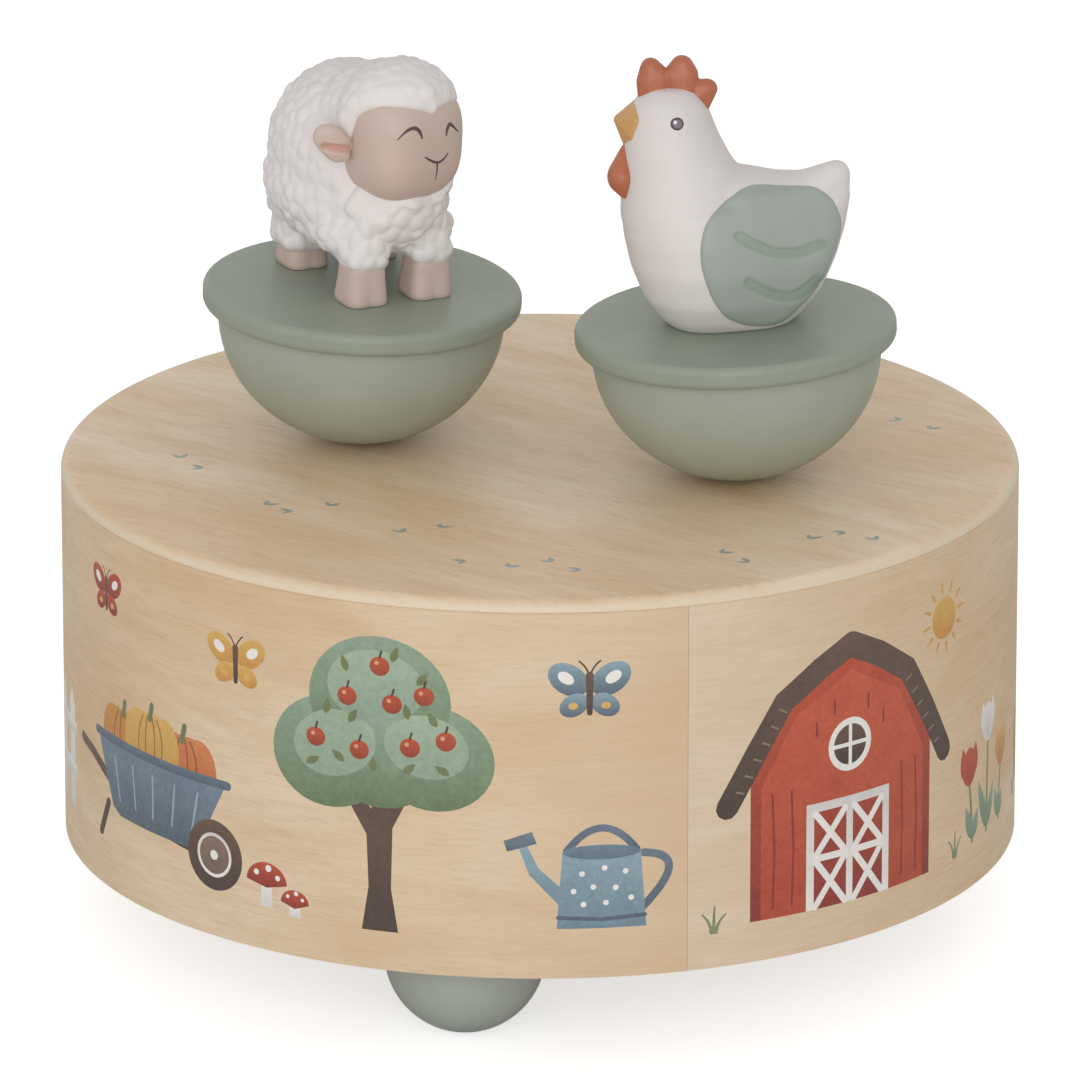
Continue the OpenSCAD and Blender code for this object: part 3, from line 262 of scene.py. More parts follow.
def plastic(name, colour, roughness):
    """Moulded plastic with a fine even grain."""
    base = srgb(*colour)
    look = Look(name, base, roughness)
    grain = look.noise(2500)
    look.colour(look.vary(grain, scaled(base, 0.85), base))
    look.gloss(grain, 0.05, 0.08)
    look.bump(grain, 0.02, 0.5)
    return look.material


def wood(name, honey, pale, dark, along, across, rotation=(0, 0, 0), attribute=None, roughness=0.5, streaks=0.5):
    """Sliced birch: soft clouds of tone, broad faint streaks, short fine fibres. Along and across are per metre."""
    look = Look(name, srgb(*honey), roughness, coat=0.2, coat_roughness=0.4, specular=0.35)

    def field(a, c, *kind):
        return look.noise(look.place((a, c, c), rotation, attribute), *kind)

    def over(under, where, low, high, most, colour):
        """A colour laid over the tone below where a field is high."""
        return look.mix(look.ramp(where, (low, 0.0), (high, most)), under, srgb(*colour))

    clouds = field(along * 0.4, along * 0.9, 3, 0.55, 0.6)
    tone = look.ramp(clouds, (0.36, srgb(*honey)), (0.64, srgb(*pale)))
    tone = over(tone, field(along * 0.8, across * 0.11, 3, 0.6, 0.7), 0.44, 0.76, streaks, dark)
    light = tuple(min(255, c + 10) for c in pale)
    tone = over(tone, field(along * 1.1, across * 0.16, 2, 0.5, 0.5), 0.52, 0.8, streaks * 0.7, light)
    fibre = field(along * 5, across, 3, 0.7, 0.25)
    tone = over(tone, fibre, 0.48, 0.74, 0.34, dim(dark, 0.86))
    tone = over(tone, field(along * 9, across * 2.2, 1), 0.64, 0.74, 0.22, dim(dark, 0.74))
    look.colour(tone)
    look.gloss(fibre, 0.05, 0.08)
    look.bump(fibre, 0.02, 0.3)
    return look, tone


def axis_ramp(look, axis, low, high, *stops, attribute=None):
    """A ramp along one axis, from low to high in metres."""
    span = high - low
    mapping = look.place([1 / span if k == axis else 1 for k in "XYZ"], attribute=attribute)
    split = look.add("ShaderNodeSeparateXYZ")
    look.link(mapping, split.inputs["Vector"])
    shifted = look.add("ShaderNodeMath", operation="SUBTRACT")
    look.link(split.outputs[axis], shifted.inputs[0])
    look.set(shifted, 1, low / span)
    return look.ramp(shifted.outputs[0], *stops)


def side_material():
    look, tone = wood(
        "side_birch", (217, 186, 147), (229, 209, 181), (208, 171, 130), 42, 2600, attribute="unrolled", streaks=0.4
    )
    # The two ends of the sheet differ in tone: pale at its start, warm at its end
    around = 2 * math.pi * DRUM_R * MM
    for stops, colour in (
        (((0.0, 0.4), (0.12, 0.0)), (220, 206, 186)),
        (((0.78, 0.0), (0.93, 0.25), (1.0, 0.65)), (214, 185, 150)),
    ):
        tone = look.mix(axis_ramp(look, "X", 0, around, *stops, attribute="unrolled"), tone, srgb(*colour))
    # The ink is mottled by fine stipple and a soft wash
    stipple = look.ramp(look.noise(1400, 3, 0.7), (0.35, 0.0), (0.7, 0.30))
    ink = look.mix(stipple, look.attribute("print", "Color"), (1, 1, 1, 1), "SOFT_LIGHT")
    ink = look.mix(look.vary(look.noise(260), 0.0, 0.35), ink, (0.25, 0.25, 0.25, 1), "SOFT_LIGHT")
    look.colour(look.mix(look.attribute("print", "Alpha"), tone, ink))
    return look.material


def lid_material():
    look, tone = wood(
        "lid_birch", (226, 194, 154), (239, 218, 191), (216, 176, 132), 42, 1900,
        rotation=(0, 0, -38), roughness=0.46, streaks=0.4,
    )
    tone = look.mix(look.attribute("print", "Alpha"), tone, look.attribute("print", "Color"))
    # The rounded edge is painted paler, partly as sanded wear and partly as a painted highlight, with a ragged border
    ragged = look.noise(look.place((260, 260, 900)), 3, 0.7)
    edge = axis_ramp(look, "Z", Z_RIM * MM, Z_LID * MM, (0.55, 1.0), (0.93, 0.0))
    edge = look.mix(look.ramp(ragged, (0.35, 0.0), (0.75, 0.45)), edge, (0, 0, 0, 1))
    look.colour(look.mix(edge, tone, srgb(226, 210, 184)))
    return look.material


SIDE_WOOD, LID_WOOD = side_material(), lid_material()
RAW_WOOD = wood("raw_wood", (212, 188, 150), (218, 198, 166), (190, 160, 120), 80, 1600, roughness=0.62)[0].material
BASE_WOOD = wood(
    "base_birch", (214, 190, 154), (220, 200, 170), (196, 168, 130), 50, 1800, rotation=(0, 0, 20)
)[0].material
SAGE = paint("sage_paint", (163, 171, 157), 0.48, 0.03)
SAGE_DISC = paint("sage_disc_paint", (148, 157, 142), 0.46, 0.03)
SAGE_FOOT = paint("sage_foot_paint", (171, 179, 171), 0.42, 0.04)
WHITE = paint("white_paint", (224, 218, 215), 0.52, 0.02)
WOOL = paint("wool_paint", (231, 226, 224), 0.58, 0.02)
FACE = paint("face_paint", (204, 183, 171), 0.46, 0.03)
EAR = paint("ear_paint", (204, 183, 171), 0.46, 0.03, "shade")
LINES = paint("line_paint", (98, 72, 76), 0.5, 0.05)
EYE = paint("eye_paint", (86, 72, 82), 0.4, 0.05)
IRIS = paint("iris_paint", (126, 118, 126), 0.4, 0.05)
GLINT = paint("glint_paint", (238, 236, 236), 0.35, 0.01)
COMB = paint("comb_paint", (180, 106, 76), 0.36, 0.06)
BEAK = paint("beak_paint", (205, 158, 100), 0.42, 0.06)
WING = paint("wing_paint", (162, 170, 162), 0.45, 0.03, "shade")

CAD_LOOKS = {
    "core_wood": RAW_WOOD,
    "side_veneer": SIDE_WOOD,
    "lid_wood": LID_WOOD,
    "base_wood": BASE_WOOD,
    "sage_foot": SAGE_FOOT,
    "sage_bowl": SAGE,
    "sage_disc": SAGE_DISC,
    "dowel_wood": RAW_WOOD,
    "sheep_paint": WHITE,
    "hen_paint": WHITE,
    "steel": metal("steel", (190, 192, 196), 0.3),
    "spring_steel": metal("blued_steel", (120, 128, 140), 0.35),
    "zinc": metal("cast_zinc", (166, 168, 172), 0.45, grain=(900, 900, 900)),
    "brass": metal("brass", (214, 184, 124), 0.32),
    "magnet_nickel": metal("nickel", (214, 214, 214), 0.18),
    "carrier_plastic": plastic("black_plastic", (44, 44, 47), 0.5),
}
for part in frame["record"]["subparts"]:
    for material_slot in frame["nodes"][part["node"]].material_slots:
        material_slot.link = "OBJECT"
        material_slot.material = CAD_LOOKS[part["material_slot"]]


# ---------------------------------------------------------------- mesh tools


def make(name, verts, faces, material, body, matrix=None):
    """An object from millimetre points, riding a body."""
    verts = np.asarray(verts, float).reshape(-1, 3)
    if matrix is not None:
        m = np.array(matrix)
        verts = verts @ m[:3, :3].T + m[:3, 3]
    mesh = bpy.data.meshes.new(name)
    mesh.from_pydata((verts * MM).tolist(), [], [list(f) for f in faces])
    mesh.polygons.foreach_set("use_smooth", [True] * len(mesh.polygons))
    mesh.update()
    obj = bpy.data.objects.new(name, mesh)
    bpy.context.scene.collection.objects.link(obj)
    obj.data.materials.append(material)
    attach(obj, body)
    return obj


def piece(figure, name, verts, faces, material, pose=Matrix()):
    """A piece of one of the two figures, drawn in a pose in the figure's own frame."""
    matrix = figure_frame(figure) @ pose
    return make(f"{figure}_{name}", verts, faces, material, f"{figure}_figure", matrix)


def circle(n):
    """The angles of n places all around."""
    return [2 * math.pi * k / n for k in range(n)]


def rows_of(first, width, count):
    """Rows of point numbers, one after the other."""
    return [list(range(first + i * width, first + (i + 1) * width)) for i in range(count)]


def band(a, b, flip=False):
    """Quads all around between two closed rows of point numbers."""
    quads = zip(a, b, b[1:] + b[:1], a[1:] + a[:1])
    return [(i, l, k, j) if flip else (i, j, k, l) for i, j, k, l in quads]


def fan(row, tip, flip=False):
    """Triangles all around between a closed row and one point."""
    return [(b, a, tip) if flip else (a, b, tip) for a, b in zip(row, row[1:] + row[:1])]


def add_ellipsoid(bm, centre, size, steps=4):
    scale = Matrix.Diagonal((size[0] / 2, size[1] / 2, size[2] / 2, 1))
    bmesh.ops.create_icosphere(bm, subdivisions=steps, radius=1, matrix=Matrix.Translation(centre) @ scale)


def add_hull(bm, *points):
    """The convex hull of several sets of points, as a solid of its own."""
    part = bmesh.new()
    for p in np.concatenate(points):
        part.verts.new(p)
    found = bmesh.ops.convex_hull(part, input=part.verts)
    inner = [v for v in found["geom_interior"] if isinstance(v, bmesh.types.BMVert)]
    bmesh.ops.delete(part, geom=inner, context="VERTS")
    mesh = as_mesh(part)
    bm.from_mesh(mesh)
    bpy.data.meshes.remove(mesh)


def ball_points(centre, size, n=260):
    """Evenly spread points on an ellipsoid."""
    golden_angle = math.radians(137.508)
    i = np.arange(n) + 0.5
    z = 1 - 2 * i / n
    r = np.sqrt(1 - z * z)
    a = golden_angle * i
    unit = np.stack([r * np.cos(a), r * np.sin(a), z], 1)
    return unit * (np.asarray(size) / 2) + np.asarray(centre)


def as_mesh(bm):
    """A mesh of bm, which is freed."""
    mesh = bpy.data.meshes.new("part")
    bm.to_mesh(mesh)
    bm.free()
    return mesh


def taken_from(mesh):
    """The points and faces of a mesh, which is removed."""
    verts = np.zeros(len(mesh.vertices) * 3)
    mesh.vertices.foreach_get("co", verts)
    faces = [tuple(p.vertices) for p in mesh.polygons]
    bpy.data.meshes.remove(mesh)
    return verts.reshape(-1, 3), faces


def fuse(bm, voxel, smooth_steps):
    """One closed skin around the overlapping solids in bm, smoothed: its points and its faces."""
    mesh = as_mesh(bm)
    obj = bpy.data.objects.new("fuse", mesh)
    bpy.context.scene.collection.objects.link(obj)
    skin = obj.modifiers.new("skin", "REMESH")
    skin.mode = "VOXEL"
    skin.voxel_size = voxel
    even = obj.modifiers.new("even", "SMOOTH")
    even.factor = 0.5
    even.iterations = smooth_steps
    dg = bpy.context.evaluated_depsgraph_get()
    done = bpy.data.meshes.new_from_object(obj.evaluated_get(dg))
    bpy.data.objects.remove(obj)
    bpy.data.meshes.remove(mesh)
    return largest_piece(*taken_from(done))


def sides_of(faces):
    """The numbers of the two points of each side of each face."""
    return np.array([(f[i], f[i - 1]) for f in faces for i in range(len(f))])


def largest_piece(verts, faces):
    """Only the faces that hang together with the most others."""
    label = np.arange(len(verts))
    pairs = sides_of(faces)
    while True:
        low = np.minimum(label[pairs[:, 0]], label[pairs[:, 1]])
        new = label.copy()
        np.minimum.at(new, pairs[:, 0], low)
        np.minimum.at(new, pairs[:, 1], low)
        new = new[new]
        if (new == label).all():
            break
        label = new
    main = np.bincount(label).argmax()
    keep = label == main
    index = np.cumsum(keep) - 1
    return verts[keep], [tuple(int(index[v]) for v in f) for f in faces if keep[f[0]]]


def normals_of(verts, faces):
    mesh = bpy.data.meshes.new("normals")
    mesh.from_pydata(verts.tolist(), [], faces)
    mesh.update()
    n = np.zeros(len(verts) * 3)
    mesh.vertices.foreach_get("normal", n)
    bpy.data.meshes.remove(mesh)
    return n.reshape(-1, 3)


def flatten_base(verts, z):
    """Cuts the skin flat where it stands."""
    verts[:, 2] = np.maximum(verts[:, 2], z)
    return verts


def tube(points, radii, sides):
    """A tube with round ends along points, as points and faces."""
    points = [Vector(p) for p in points]
    last = len(points) - 1
    verts = []
    side = None
    for i, p in enumerate(points):
        way = (points[min(i + 1, last)] - points[max(i - 1, 0)]).normalized()
        side = side or way.orthogonal()
        side = (side - way * side.dot(way)).normalized()
        other = way.cross(side)
        verts += [p + (side * math.cos(a) + other * math.sin(a)) * radii[i] for a in circle(sides)]
    rows = rows_of(0, sides, len(points))
    faces = [quad for a, b in zip(rows, rows[1:]) for quad in band(a, b, flip=True)]
    for end, inner in ((0, 1), (last, last - 1)):
        faces += fan(rows[end], len(verts), flip=end == 0)
        verts.append(points[end] + (points[end] - points[inner]).normalized() * radii[end] * 0.9)
    return [tuple(v) for v in verts], faces


def joined(*parts):
    """Several (points, faces) as one."""
    verts, faces = [], []
    for v, f in parts:
        faces += [tuple(i + len(verts) for i in face) for face in f]
        verts += [tuple(p) for p in v]
    return verts, faces


# ---------------------------------------------------------------- printed pictures


def turned(points, x, y, degrees):
    """Flat points turned about the origin, then moved to x, y."""
    c, s = math.cos(math.radians(degrees)), math.sin(math.radians(degrees))
    return [(x + a * c - b * s, y + a * s + b * c) for a, b in points]


class Picture:
    """Flat painted shapes, each over the ones before it. Points are millimetres on the unrolled sheet."""

    def __init__(self):
        self.shapes = []
        self.at(0.0, 0.0)

    def at(self, x, y, size=1.0, flip=False):
        """Moves, sizes and mirrors what is painted from here on."""
        self.origin, self.size, self.flip = (x, y), size, -1.0 if flip else 1.0
        return self

    def poly(self, points, colour, second=None):
        """A filled outline. With a second colour, it fades upwards from the first to the second."""
        ox, oy = self.origin
        pts = [(ox + self.flip * p[0] * self.size, oy + p[1] * self.size) for p in points]
        area = sum(a[0] * b[1] - b[0] * a[1] for a, b in zip(pts, pts[1:] + pts[:1]))
        self.shapes.append((pts if area > 0 else pts[::-1], colour, second or colour))

    def ellipse(self, x, y, rx, ry, colour, second=None, turn_by=0.0, n=26):
        ring = [(math.cos(a) * rx, math.sin(a) * ry) for a in circle(n)]
        self.poly(turned(ring, x, y, turn_by), colour, second)

    def stroke(self, points, width, colour, second=None, end_width=None):
        """A brush stroke with round ends that may taper."""
        pts = [Vector(p) for p in points]
        end_width = width if end_width is None else end_width
        n = len(pts) - 1
        left, right = [], []
        for i, p in enumerate(pts):
            way = (pts[min(i + 1, n)] - pts[max(i - 1, 0)]).normalized()
            side = Vector((-way.y, way.x)) * (width + (end_width - width) * i / n) / 2
            left.append(p + side)
            right.append(p - side)

        def cap(centre, start, w):
            angles = [start + math.pi * k / 5 for k in range(1, 5)]
            return [centre + Vector((math.cos(a), math.sin(a))) * w / 2 for a in angles]

        first, last = (pts[1] - pts[0]), (pts[-1] - pts[-2])
        begin = math.atan2(first.y, first.x) + math.pi / 2
        finish = math.atan2(last.y, last.x) - math.pi / 2
        outline = right + cap(pts[-1], finish, end_width) + left[::-1] + cap(pts[0], begin, width)
        self.poly([tuple(p) for p in outline], colour, second)

    def curve(self, control, width, colour, second=None, end_width=None, steps=9):
        """A stroke along a quadratic curve through three control points."""
        a, b, c = (Vector(p) for p in control)
        pts = []
        for i in range(steps):
            t = i / (steps - 1)
            pts.append(a * (1 - t) ** 2 + b * 2 * t * (1 - t) + c * t * t)
        self.stroke(pts, width, colour, second, end_width)

    def leaf(self, x, y, length, width, angle, colour, second=None):
        """A pointed leaf from its stalk end."""
        n = 9
        side = [(length * i / n, width / 2 * math.sin(math.pi * (i / n) ** 0.8)) for i in range(n + 1)]
        self.poly(turned(side + [(a, -b) for a, b in side[-2:0:-1]], x, y, angle), colour, second)


def cut_sheet(corners, lines, shapes):
    """Triangles of a flat outline, cut along the shapes: points, faces and the index of the shape on top."""
    points, edges, faces = [], [], []

    def put(ring):
        start = len(points)
        points.extend(Vector(p) for p in ring)
        return list(range(start, len(points)))

    faces.append(put(corners))
    for line in lines:
        edges.append(tuple(put(line)))
    for ring, _, _ in shapes:
        faces.append(put(ring))
    result = geometry.delaunay_2d_cdt(points, edges, faces, 1, 1e-5)
    verts, tris, owners = result[0], result[2], result[5]
    top_shape = [max(o) - 1 if o else -1 for o in owners]
    return np.array([tuple(v) for v in verts]), [tuple(t) for t in tris], top_shape


def paint_faces(mesh, flat_points, face_shapes, shapes):
    """Writes the colour of the shape on top to each corner, with alpha 1 where something is printed."""
    layer = mesh.color_attributes.new("print", "FLOAT_COLOR", "CORNER")
    colours = np.zeros((len(mesh.loops), 4))
    for polygon, shape in zip(mesh.polygons, face_shapes):
        if shape < 0:
            continue
        ring, low, high = shapes[shape]
        y0, y1 = min(p[1] for p in ring), max(p[1] for p in ring)
        a, b = np.array(srgb(*low)), np.array(srgb(*high))
        for k in polygon.loop_indices:
            y = flat_points[mesh.loops[k].vertex_index][1]
            colours[k] = a + (b - a) * min(1, max(0, (y - y0) / max(1e-6, y1 - y0)))
    layer.data.foreach_set("color", colours.ravel().astype(np.float32))


RED, DARK_RED, BROWN, DARK = (186, 84, 58), (138, 58, 52), (104, 84, 72), (78, 64, 58)
CREAM, GREY_WHITE, SAGE_INK, OLIVE = (236, 232, 226), (214, 210, 206), (142, 162, 140), (112, 122, 84)
SLATE, DUSTY, OCHRE, GOLD, PEACH = (88, 100, 112), (138, 162, 172), (198, 142, 74), (214, 172, 96), (214, 160, 120)


def barn(p):
    outer = ((14, 0), (14, 17), (9, 26), (0, 30.5))
    inner = ((12.6, 0), (12.6, 16.4), (8, 24.6), (0, 28.8))
    for half, low, high in ((outer, DARK_RED, RED), (inner, (176, 78, 56), (196, 94, 66))):
        p.poly([(-half[0][0], 0), *half, *((-x, y) for x, y in half[2:0:-1])], low, high)
    for x in (-11, -8.4, 8.6, 11.2):
        p.stroke([(x, 1.2), (x + 0.2, 8), (x - 0.1, 15.4)], 0.3, DARK_RED)
    for x, y in ((-5, 23.2), (5.3, 22.8), (-2.4, 25.4), (2.8, 25.2)):
        p.stroke([(x, y - 1.6), (x, y)], 0.3, DARK_RED)
    for s in (-1, 1):
        p.stroke([(s * 17, 14.6), (s * 13.2, 21), (s * 9.6, 26.6), (s * 4.6, 29.8), (0, 32)], 2.9, DARK, BROWN, 3.1)
    for t in (0, 0.2, 0.4, 0.6, 0.8, 1):
        for s in (-1, 1):
            ends = [(s * (15.8 - 5.6 * t), 16.4 + 9.4 * t), (s * (14.9 - 5.6 * t), 16.1 + 9.2 * t)]
            p.stroke(ends, 0.24, (140, 118, 100))
    p.poly([(-6.4, 0), (6.4, 0), (6.4, 13.2), (-6.4, 13.2)], CREAM, GREY_WHITE)
    for x0, x1 in ((-5.3, -0.5), (0.5, 5.3)):
        p.poly([(x0, 0), (x1, 0), (x1, 12.1), (x0, 12.1)], DARK_RED, (164, 72, 54))
    planks = ((0, 1, 0.3, 6), (1, 0, 0.3, 6), (0, 1, 6.3, 6.3), (0, 1, 6.6, 11.9), (1, 0, 6.6, 11.9))
    for door in ((-5.1, -0.7), (0.7, 5.1)):
        for a, b, low, high in planks:
            p.stroke([(door[a], low), (door[b], high)], 0.85, CREAM)
    p.ellipse(0, 19.6, 3.3, 3.3, CREAM)
    p.ellipse(0, 19.6, 2.5, 2.5, DARK, BROWN)
    p.stroke([(-2.4, 19.6), (2.4, 19.6)], 0.5, CREAM)
    p.stroke([(0, 17.2), (0, 22)], 0.5, CREAM)


def tree(p, fruit=RED):
    trunk = (
        (-2, 0), (2.2, 0), (1.4, 5), (1.6, 12), (4.6, 18), (3.4, 18.6), (0.8, 15), (0.2, 19), (-0.6, 19), (-0.8, 14),
        (-4.2, 17.6), (-4.8, 16.8), (-1.4, 11), (-1.2, 5),
    )
    crown = ((-5.6, 20, 7.2, 6.4, 10), (6, 20.4, 7, 6, -12), (0, 26.4, 8.2, 7.4, 0), (0.4, 19.4, 6.4, 5.2, 0))
    light = ((-5.2, 21, 5, 3.8, 14), (5.4, 21.6, 4.8, 3.6, -10), (-0.4, 28, 5.6, 4.2, 0))
    leaves = (
        (-8.6, 18.2, 30), (-3.4, 23.6, 60), (3.4, 24.6, 100), (8, 18.6, 150), (1.6, 31, 70), (-3.6, 29.4, 110),
        (4.4, 28.6, 50), (-0.6, 18.2, 90), (-6.2, 24.2, 80), (6.6, 24, 120), (2.8, 18.4, 40), (-4, 19, 140),
    )
    fruits = (
        (-7.4, 21.4), (-2.2, 20.6), (3.6, 21.4), (7.6, 22.4), (-3.6, 26.6), (1.6, 26.2), (0.2, 30.4), (5.2, 27.4),
    )
    p.poly(trunk, DARK, BROWN)
    for x, y, rx, ry, t in crown:
        p.ellipse(x, y, rx, ry, (106, 124, 92), SAGE_INK, t, 34)
    for x, y, rx, ry, t in light:
        p.ellipse(x, y, rx, ry, SAGE_INK, (158, 176, 152), t)
    for x, y, a in leaves:
        p.leaf(x, y, 1.9, 0.9, a, OLIVE)
    for x, y in fruits:
        p.ellipse(x, y, 1.15, 1.1, dim(fruit, 0.8), fruit, n=18)
        p.stroke([(x, y + 1), (x + 0.2, y + 1.7)], 0.25, DARK)
        p.ellipse(x - 0.35, y + 0.35, 0.25, 0.25, PEACH, n=10)


def pumpkin(p, x, y, r, low, high):
    for dx, k in ((-0.62, 0.62), (0.62, 0.62), (-0.3, 0.72), (0.3, 0.72), (0, 0.5)):
        p.ellipse(x + dx * r, y, k * r, 0.86 * r, low, high)
    for dx in (-0.62, -0.24, 0.24, 0.62):
        rib = [(x + dx * 0.5 * r, y + 0.74 * r), (x + dx * 1.25 * r, y), (x + dx * 0.5 * r, y - 0.74 * r)]
        p.curve(rib, 0.24, dim(low, 0.78))
    p.stroke([(x, y + 0.7 * r), (x + 0.1 * r, y + 1.1 * r)], 0.8, OLIVE)


def barrow(p):
    """A wheelbarrow full of pumpkins."""
    pumpkin(p, -6.4, 13.6, 4.2, (188, 124, 60), OCHRE)
    pumpkin(p, 5.4, 13.4, 4.6, (182, 104, 64), (206, 128, 78))
    pumpkin(p, -0.6, 14.6, 4.4, (196, 146, 76), GOLD)
    p.stroke([(-10.4, 4.6), (-12.6, 0.4)], 1.1, DARK)
    p.stroke([(9.6, 3.6), (-4, 5.4), (-15, 9.6), (-18.6, 10.2)], 1.3, DARK, BROWN)
    p.poly([(-13, 12.6), (12.4, 12.6), (8, 4.4), (6.6, 3.8), (-7.4, 3.8), (-9.2, 4.6)], SLATE, (116, 132, 146))
    p.stroke([(-13.4, 12.8), (12.8, 12.8)], 1.1, SLATE, (104, 118, 130))
    for x in (-8.6, -4.4, -0.2, 4, 8):
        p.stroke([(x, 10.8), (x * 0.86, 5.6)], 0.3, (150, 168, 180))
    wheel = (
        (4.3, DARK, BROWN, 40), (2.7, CREAM, GREY_WHITE, 34), (2.3, (118, 98, 84), (136, 114, 98), 34),
        (0.6, CREAM, None, 14),
    )
    for r, low, high, n in wheel:
        p.ellipse(10.6, 3.9, r, r, low, high, n=n)


def watering_can(p):
    p.stroke([(5.4, 4.4), (9.6, 8.6), (11.2, 12.4)], 2.1, (118, 142, 152), DUSTY, 1.2)
    p.poly([(9.2, 12.8), (13.4, 11.6), (13.9, 13.2), (9.9, 14.6)], SLATE, (112, 128, 142))
    p.curve([(-6, 11), (-13.6, 10.4), (-5.6, 2.6)], 1.2, SLATE, (108, 122, 136), steps=14)
    p.curve([(-5, 11.6), (0, 18.4), (5, 11.6)], 1.1, SLATE, (108, 122, 136), steps=14)
    p.poly([(-6.4, 0), (6.4, 0), (5.6, 11.4), (-5.6, 11.4)], (112, 136, 148), DUSTY)
    p.ellipse(0, 11.4, 5.6, 1.1, (96, 116, 130), (112, 132, 146))
    p.stroke([(-6.2, 1.7), (0, 1.3), (6.2, 1.7)], 0.6, SLATE)
    dots = ((-3.4, 8.4), (-0.4, 9), (2.8, 8.2), (-2, 6), (1.2, 6.2), (4, 5.6), (-4.2, 4.4), (-0.6, 3.8), (2.6, 3.6))
    for x, y in dots:
        p.ellipse(x, y, 0.42, 0.42, CREAM, n=12)


def tulip(p, x, h, low, high, lean):
    p.curve([(x, 0), (x + lean * 0.2, h * 0.5), (x + lean, h)], 0.55, OLIVE, (128, 144, 112))
    for share, width, angle in ((0.62, 2.0, 112), (0.5, 1.8, 66)):
        p.leaf(x, 0.2, h * share, width, angle, (112, 134, 104), SAGE_INK)
    p.ellipse(x + lean, h + 1.8, 1.9, 2.5, low, high)
    for s in (-1, 1):
        p.leaf(x + lean + s * 1.2, h + 0.2, 4.6, 2.0, 90 - s * 8, low, high)
    p.leaf(x + lean, h - 0.4, 5, 1.9, 90, dim(low, 0.92), high)


def tulips(p):
    tulip(p, -4.6, 8.2, (172, 74, 54), RED, -1.0)
    tulip(p, 4.8, 7.4, (190, 132, 66), GOLD, 0.9)
    tulip(p, 0, 12.4, GREY_WHITE, CREAM, 0.3)


def butterfly(p, low, high):
    for s in (-1, 1):
        p.ellipse(s * 2.6, 1.9, 2.7, 1.9, low, high, s * 34)
        p.ellipse(s * 1.9, -1.4, 1.9, 1.4, low, high, -s * 30)
        p.ellipse(s * 2.9, 2.1, 1.1, 0.7, CREAM, turn_by=s * 34, n=16)
        p.ellipse(s * 2.0, -1.5, 0.6, 0.45, GOLD, n=14)
        p.curve([(0, 2.2), (s * 0.4, 3.6), (s * 1.3, 4.2)], 0.22, DARK)
    p.stroke([(0, -2.4), (0, 0), (0, 2.4)], 0.7, DARK, BROWN, 1.0)


def mushroom(p, x, h, r):
    p.poly([(x - 0.9, 0), (x + 0.9, 0), (x + 0.7, h), (x - 0.7, h)], GREY_WHITE, CREAM)
    angles = [math.pi * i / 16 for i in range(17)]
    cap = [(x + r * math.cos(a), h - 0.2 + r * 0.86 * math.sin(a)) for a in angles]
    p.poly([*cap, (x, h - 0.9)], DARK_RED, RED)
    for dx, dy, k in ((-0.5, 0.3, 0.13), (0.1, 0.55, 0.15), (0.55, 0.2, 0.12)):
        p.ellipse(x + dx * r, h + dy * r, k * r, k * r, CREAM, n=12)


def tuft(p, x):
    for lean, h in ((-1.5, 2.4), (0.1, 3.3), (1.6, 2.2)):
        p.curve([(x + lean * 0.2, 0), (x + lean * 0.3, h * 0.6), (x + lean, h)], 0.5, (128, 140, 104), end_width=0.2)


def sun(p):
    for i in range(12):
        a = math.radians(30 * i + 8)
        p.stroke([(r * math.cos(a), r * math.sin(a)) for r in (4.7, 6.3)], 0.7, GOLD, OCHRE, 0.45)
    p.ellipse(0, 0, 3.7, 3.7, OCHRE, GOLD, n=36)


def bale(p):
    p.ellipse(0, 6.4, 6.6, 6.4, (184, 138, 74), GOLD, n=40)
    angles = [math.radians(20 + 14 * i) for i in range(20)]
    for r in (5.2, 3.9, 2.6, 1.3):
        p.stroke([(r * math.cos(a), 6.4 + r * math.sin(a)) for a in angles], 0.32, (160, 118, 66))
    tuft(p, -6.4)
    tuft(p, 6.2)


def fence(p):
    for x in (-9, -3, 3, 9):
        p.poly([(x - 1.5, 0), (x + 1.5, 0), (x + 1.5, 13), (x, 15), (x - 1.5, 13)], GREY_WHITE, CREAM)
    for y in (4, 9.4):
        p.poly([(-11.4, y), (11.4, y), (11.4, y + 1.7), (-11.4, y + 1.7)], (206, 202, 198), CREAM)


def side_picture():
    """The print of the side, laid out around the whole drum."""
    p = Picture()
    around = 2 * math.pi * DRUM_R
    seam_arc = (SEAM_ANGLE + math.pi / 2) * DRUM_R

    def at(arc, height, size=1.0, flip=False):
        """Arc length from the middle of the front, and height above the lower edge."""
        return p.at((arc - seam_arc) % around, Z_BASE + height, size, flip)

    barn(at(41, 5.2, 1.04))
    tuft(at(21.6, 4.6), 0)
    tuft(at(61.6, 5.4), 0)
    sun(at(58.5, 37.5, 0.72))
    tulips(at(71, 6, 1.0))
    watering_can(at(7.5, 6.4, 0.86, True))
    butterfly(at(6, 36.5, 1.0), SLATE, DUSTY)
    tree(at(-20, 5, 1.12))
    mushroom(at(-35.5, 5.6), 0, 3.4, 3.0)
    mushroom(at(-31.4, 5), 0, 2.0, 2.0)
    barrow(at(-55, 6.4, 1.06))
    butterfly(at(-40, 36, 0.9, True), OCHRE, GOLD)
    butterfly(at(-66, 38.5, 0.8), DARK_RED, RED)
    fence(at(-90, 6, 1.05))
    bale(at(92, 6, 1.05))
    tree(at(116, 5, 1.08), GOLD)
    mushroom(at(131, 5.6), 0, 3.2, 2.8)
    butterfly(at(133, 36, 1.0), SLATE, DUSTY)
    barrow(at(152, 6.4, 1.0, True))
    tulips(at(177, 6, 1.05))
    barn(at(-152, 5.2, 0.98))
    sun(at(-175, 37, 0.8))
    watering_can(at(-126, 6.2, 0.95))
    butterfly(at(-125, 35, 0.95), OCHRE, GOLD)
    tulips(at(-109, 6, 0.95))
    return p.shapes


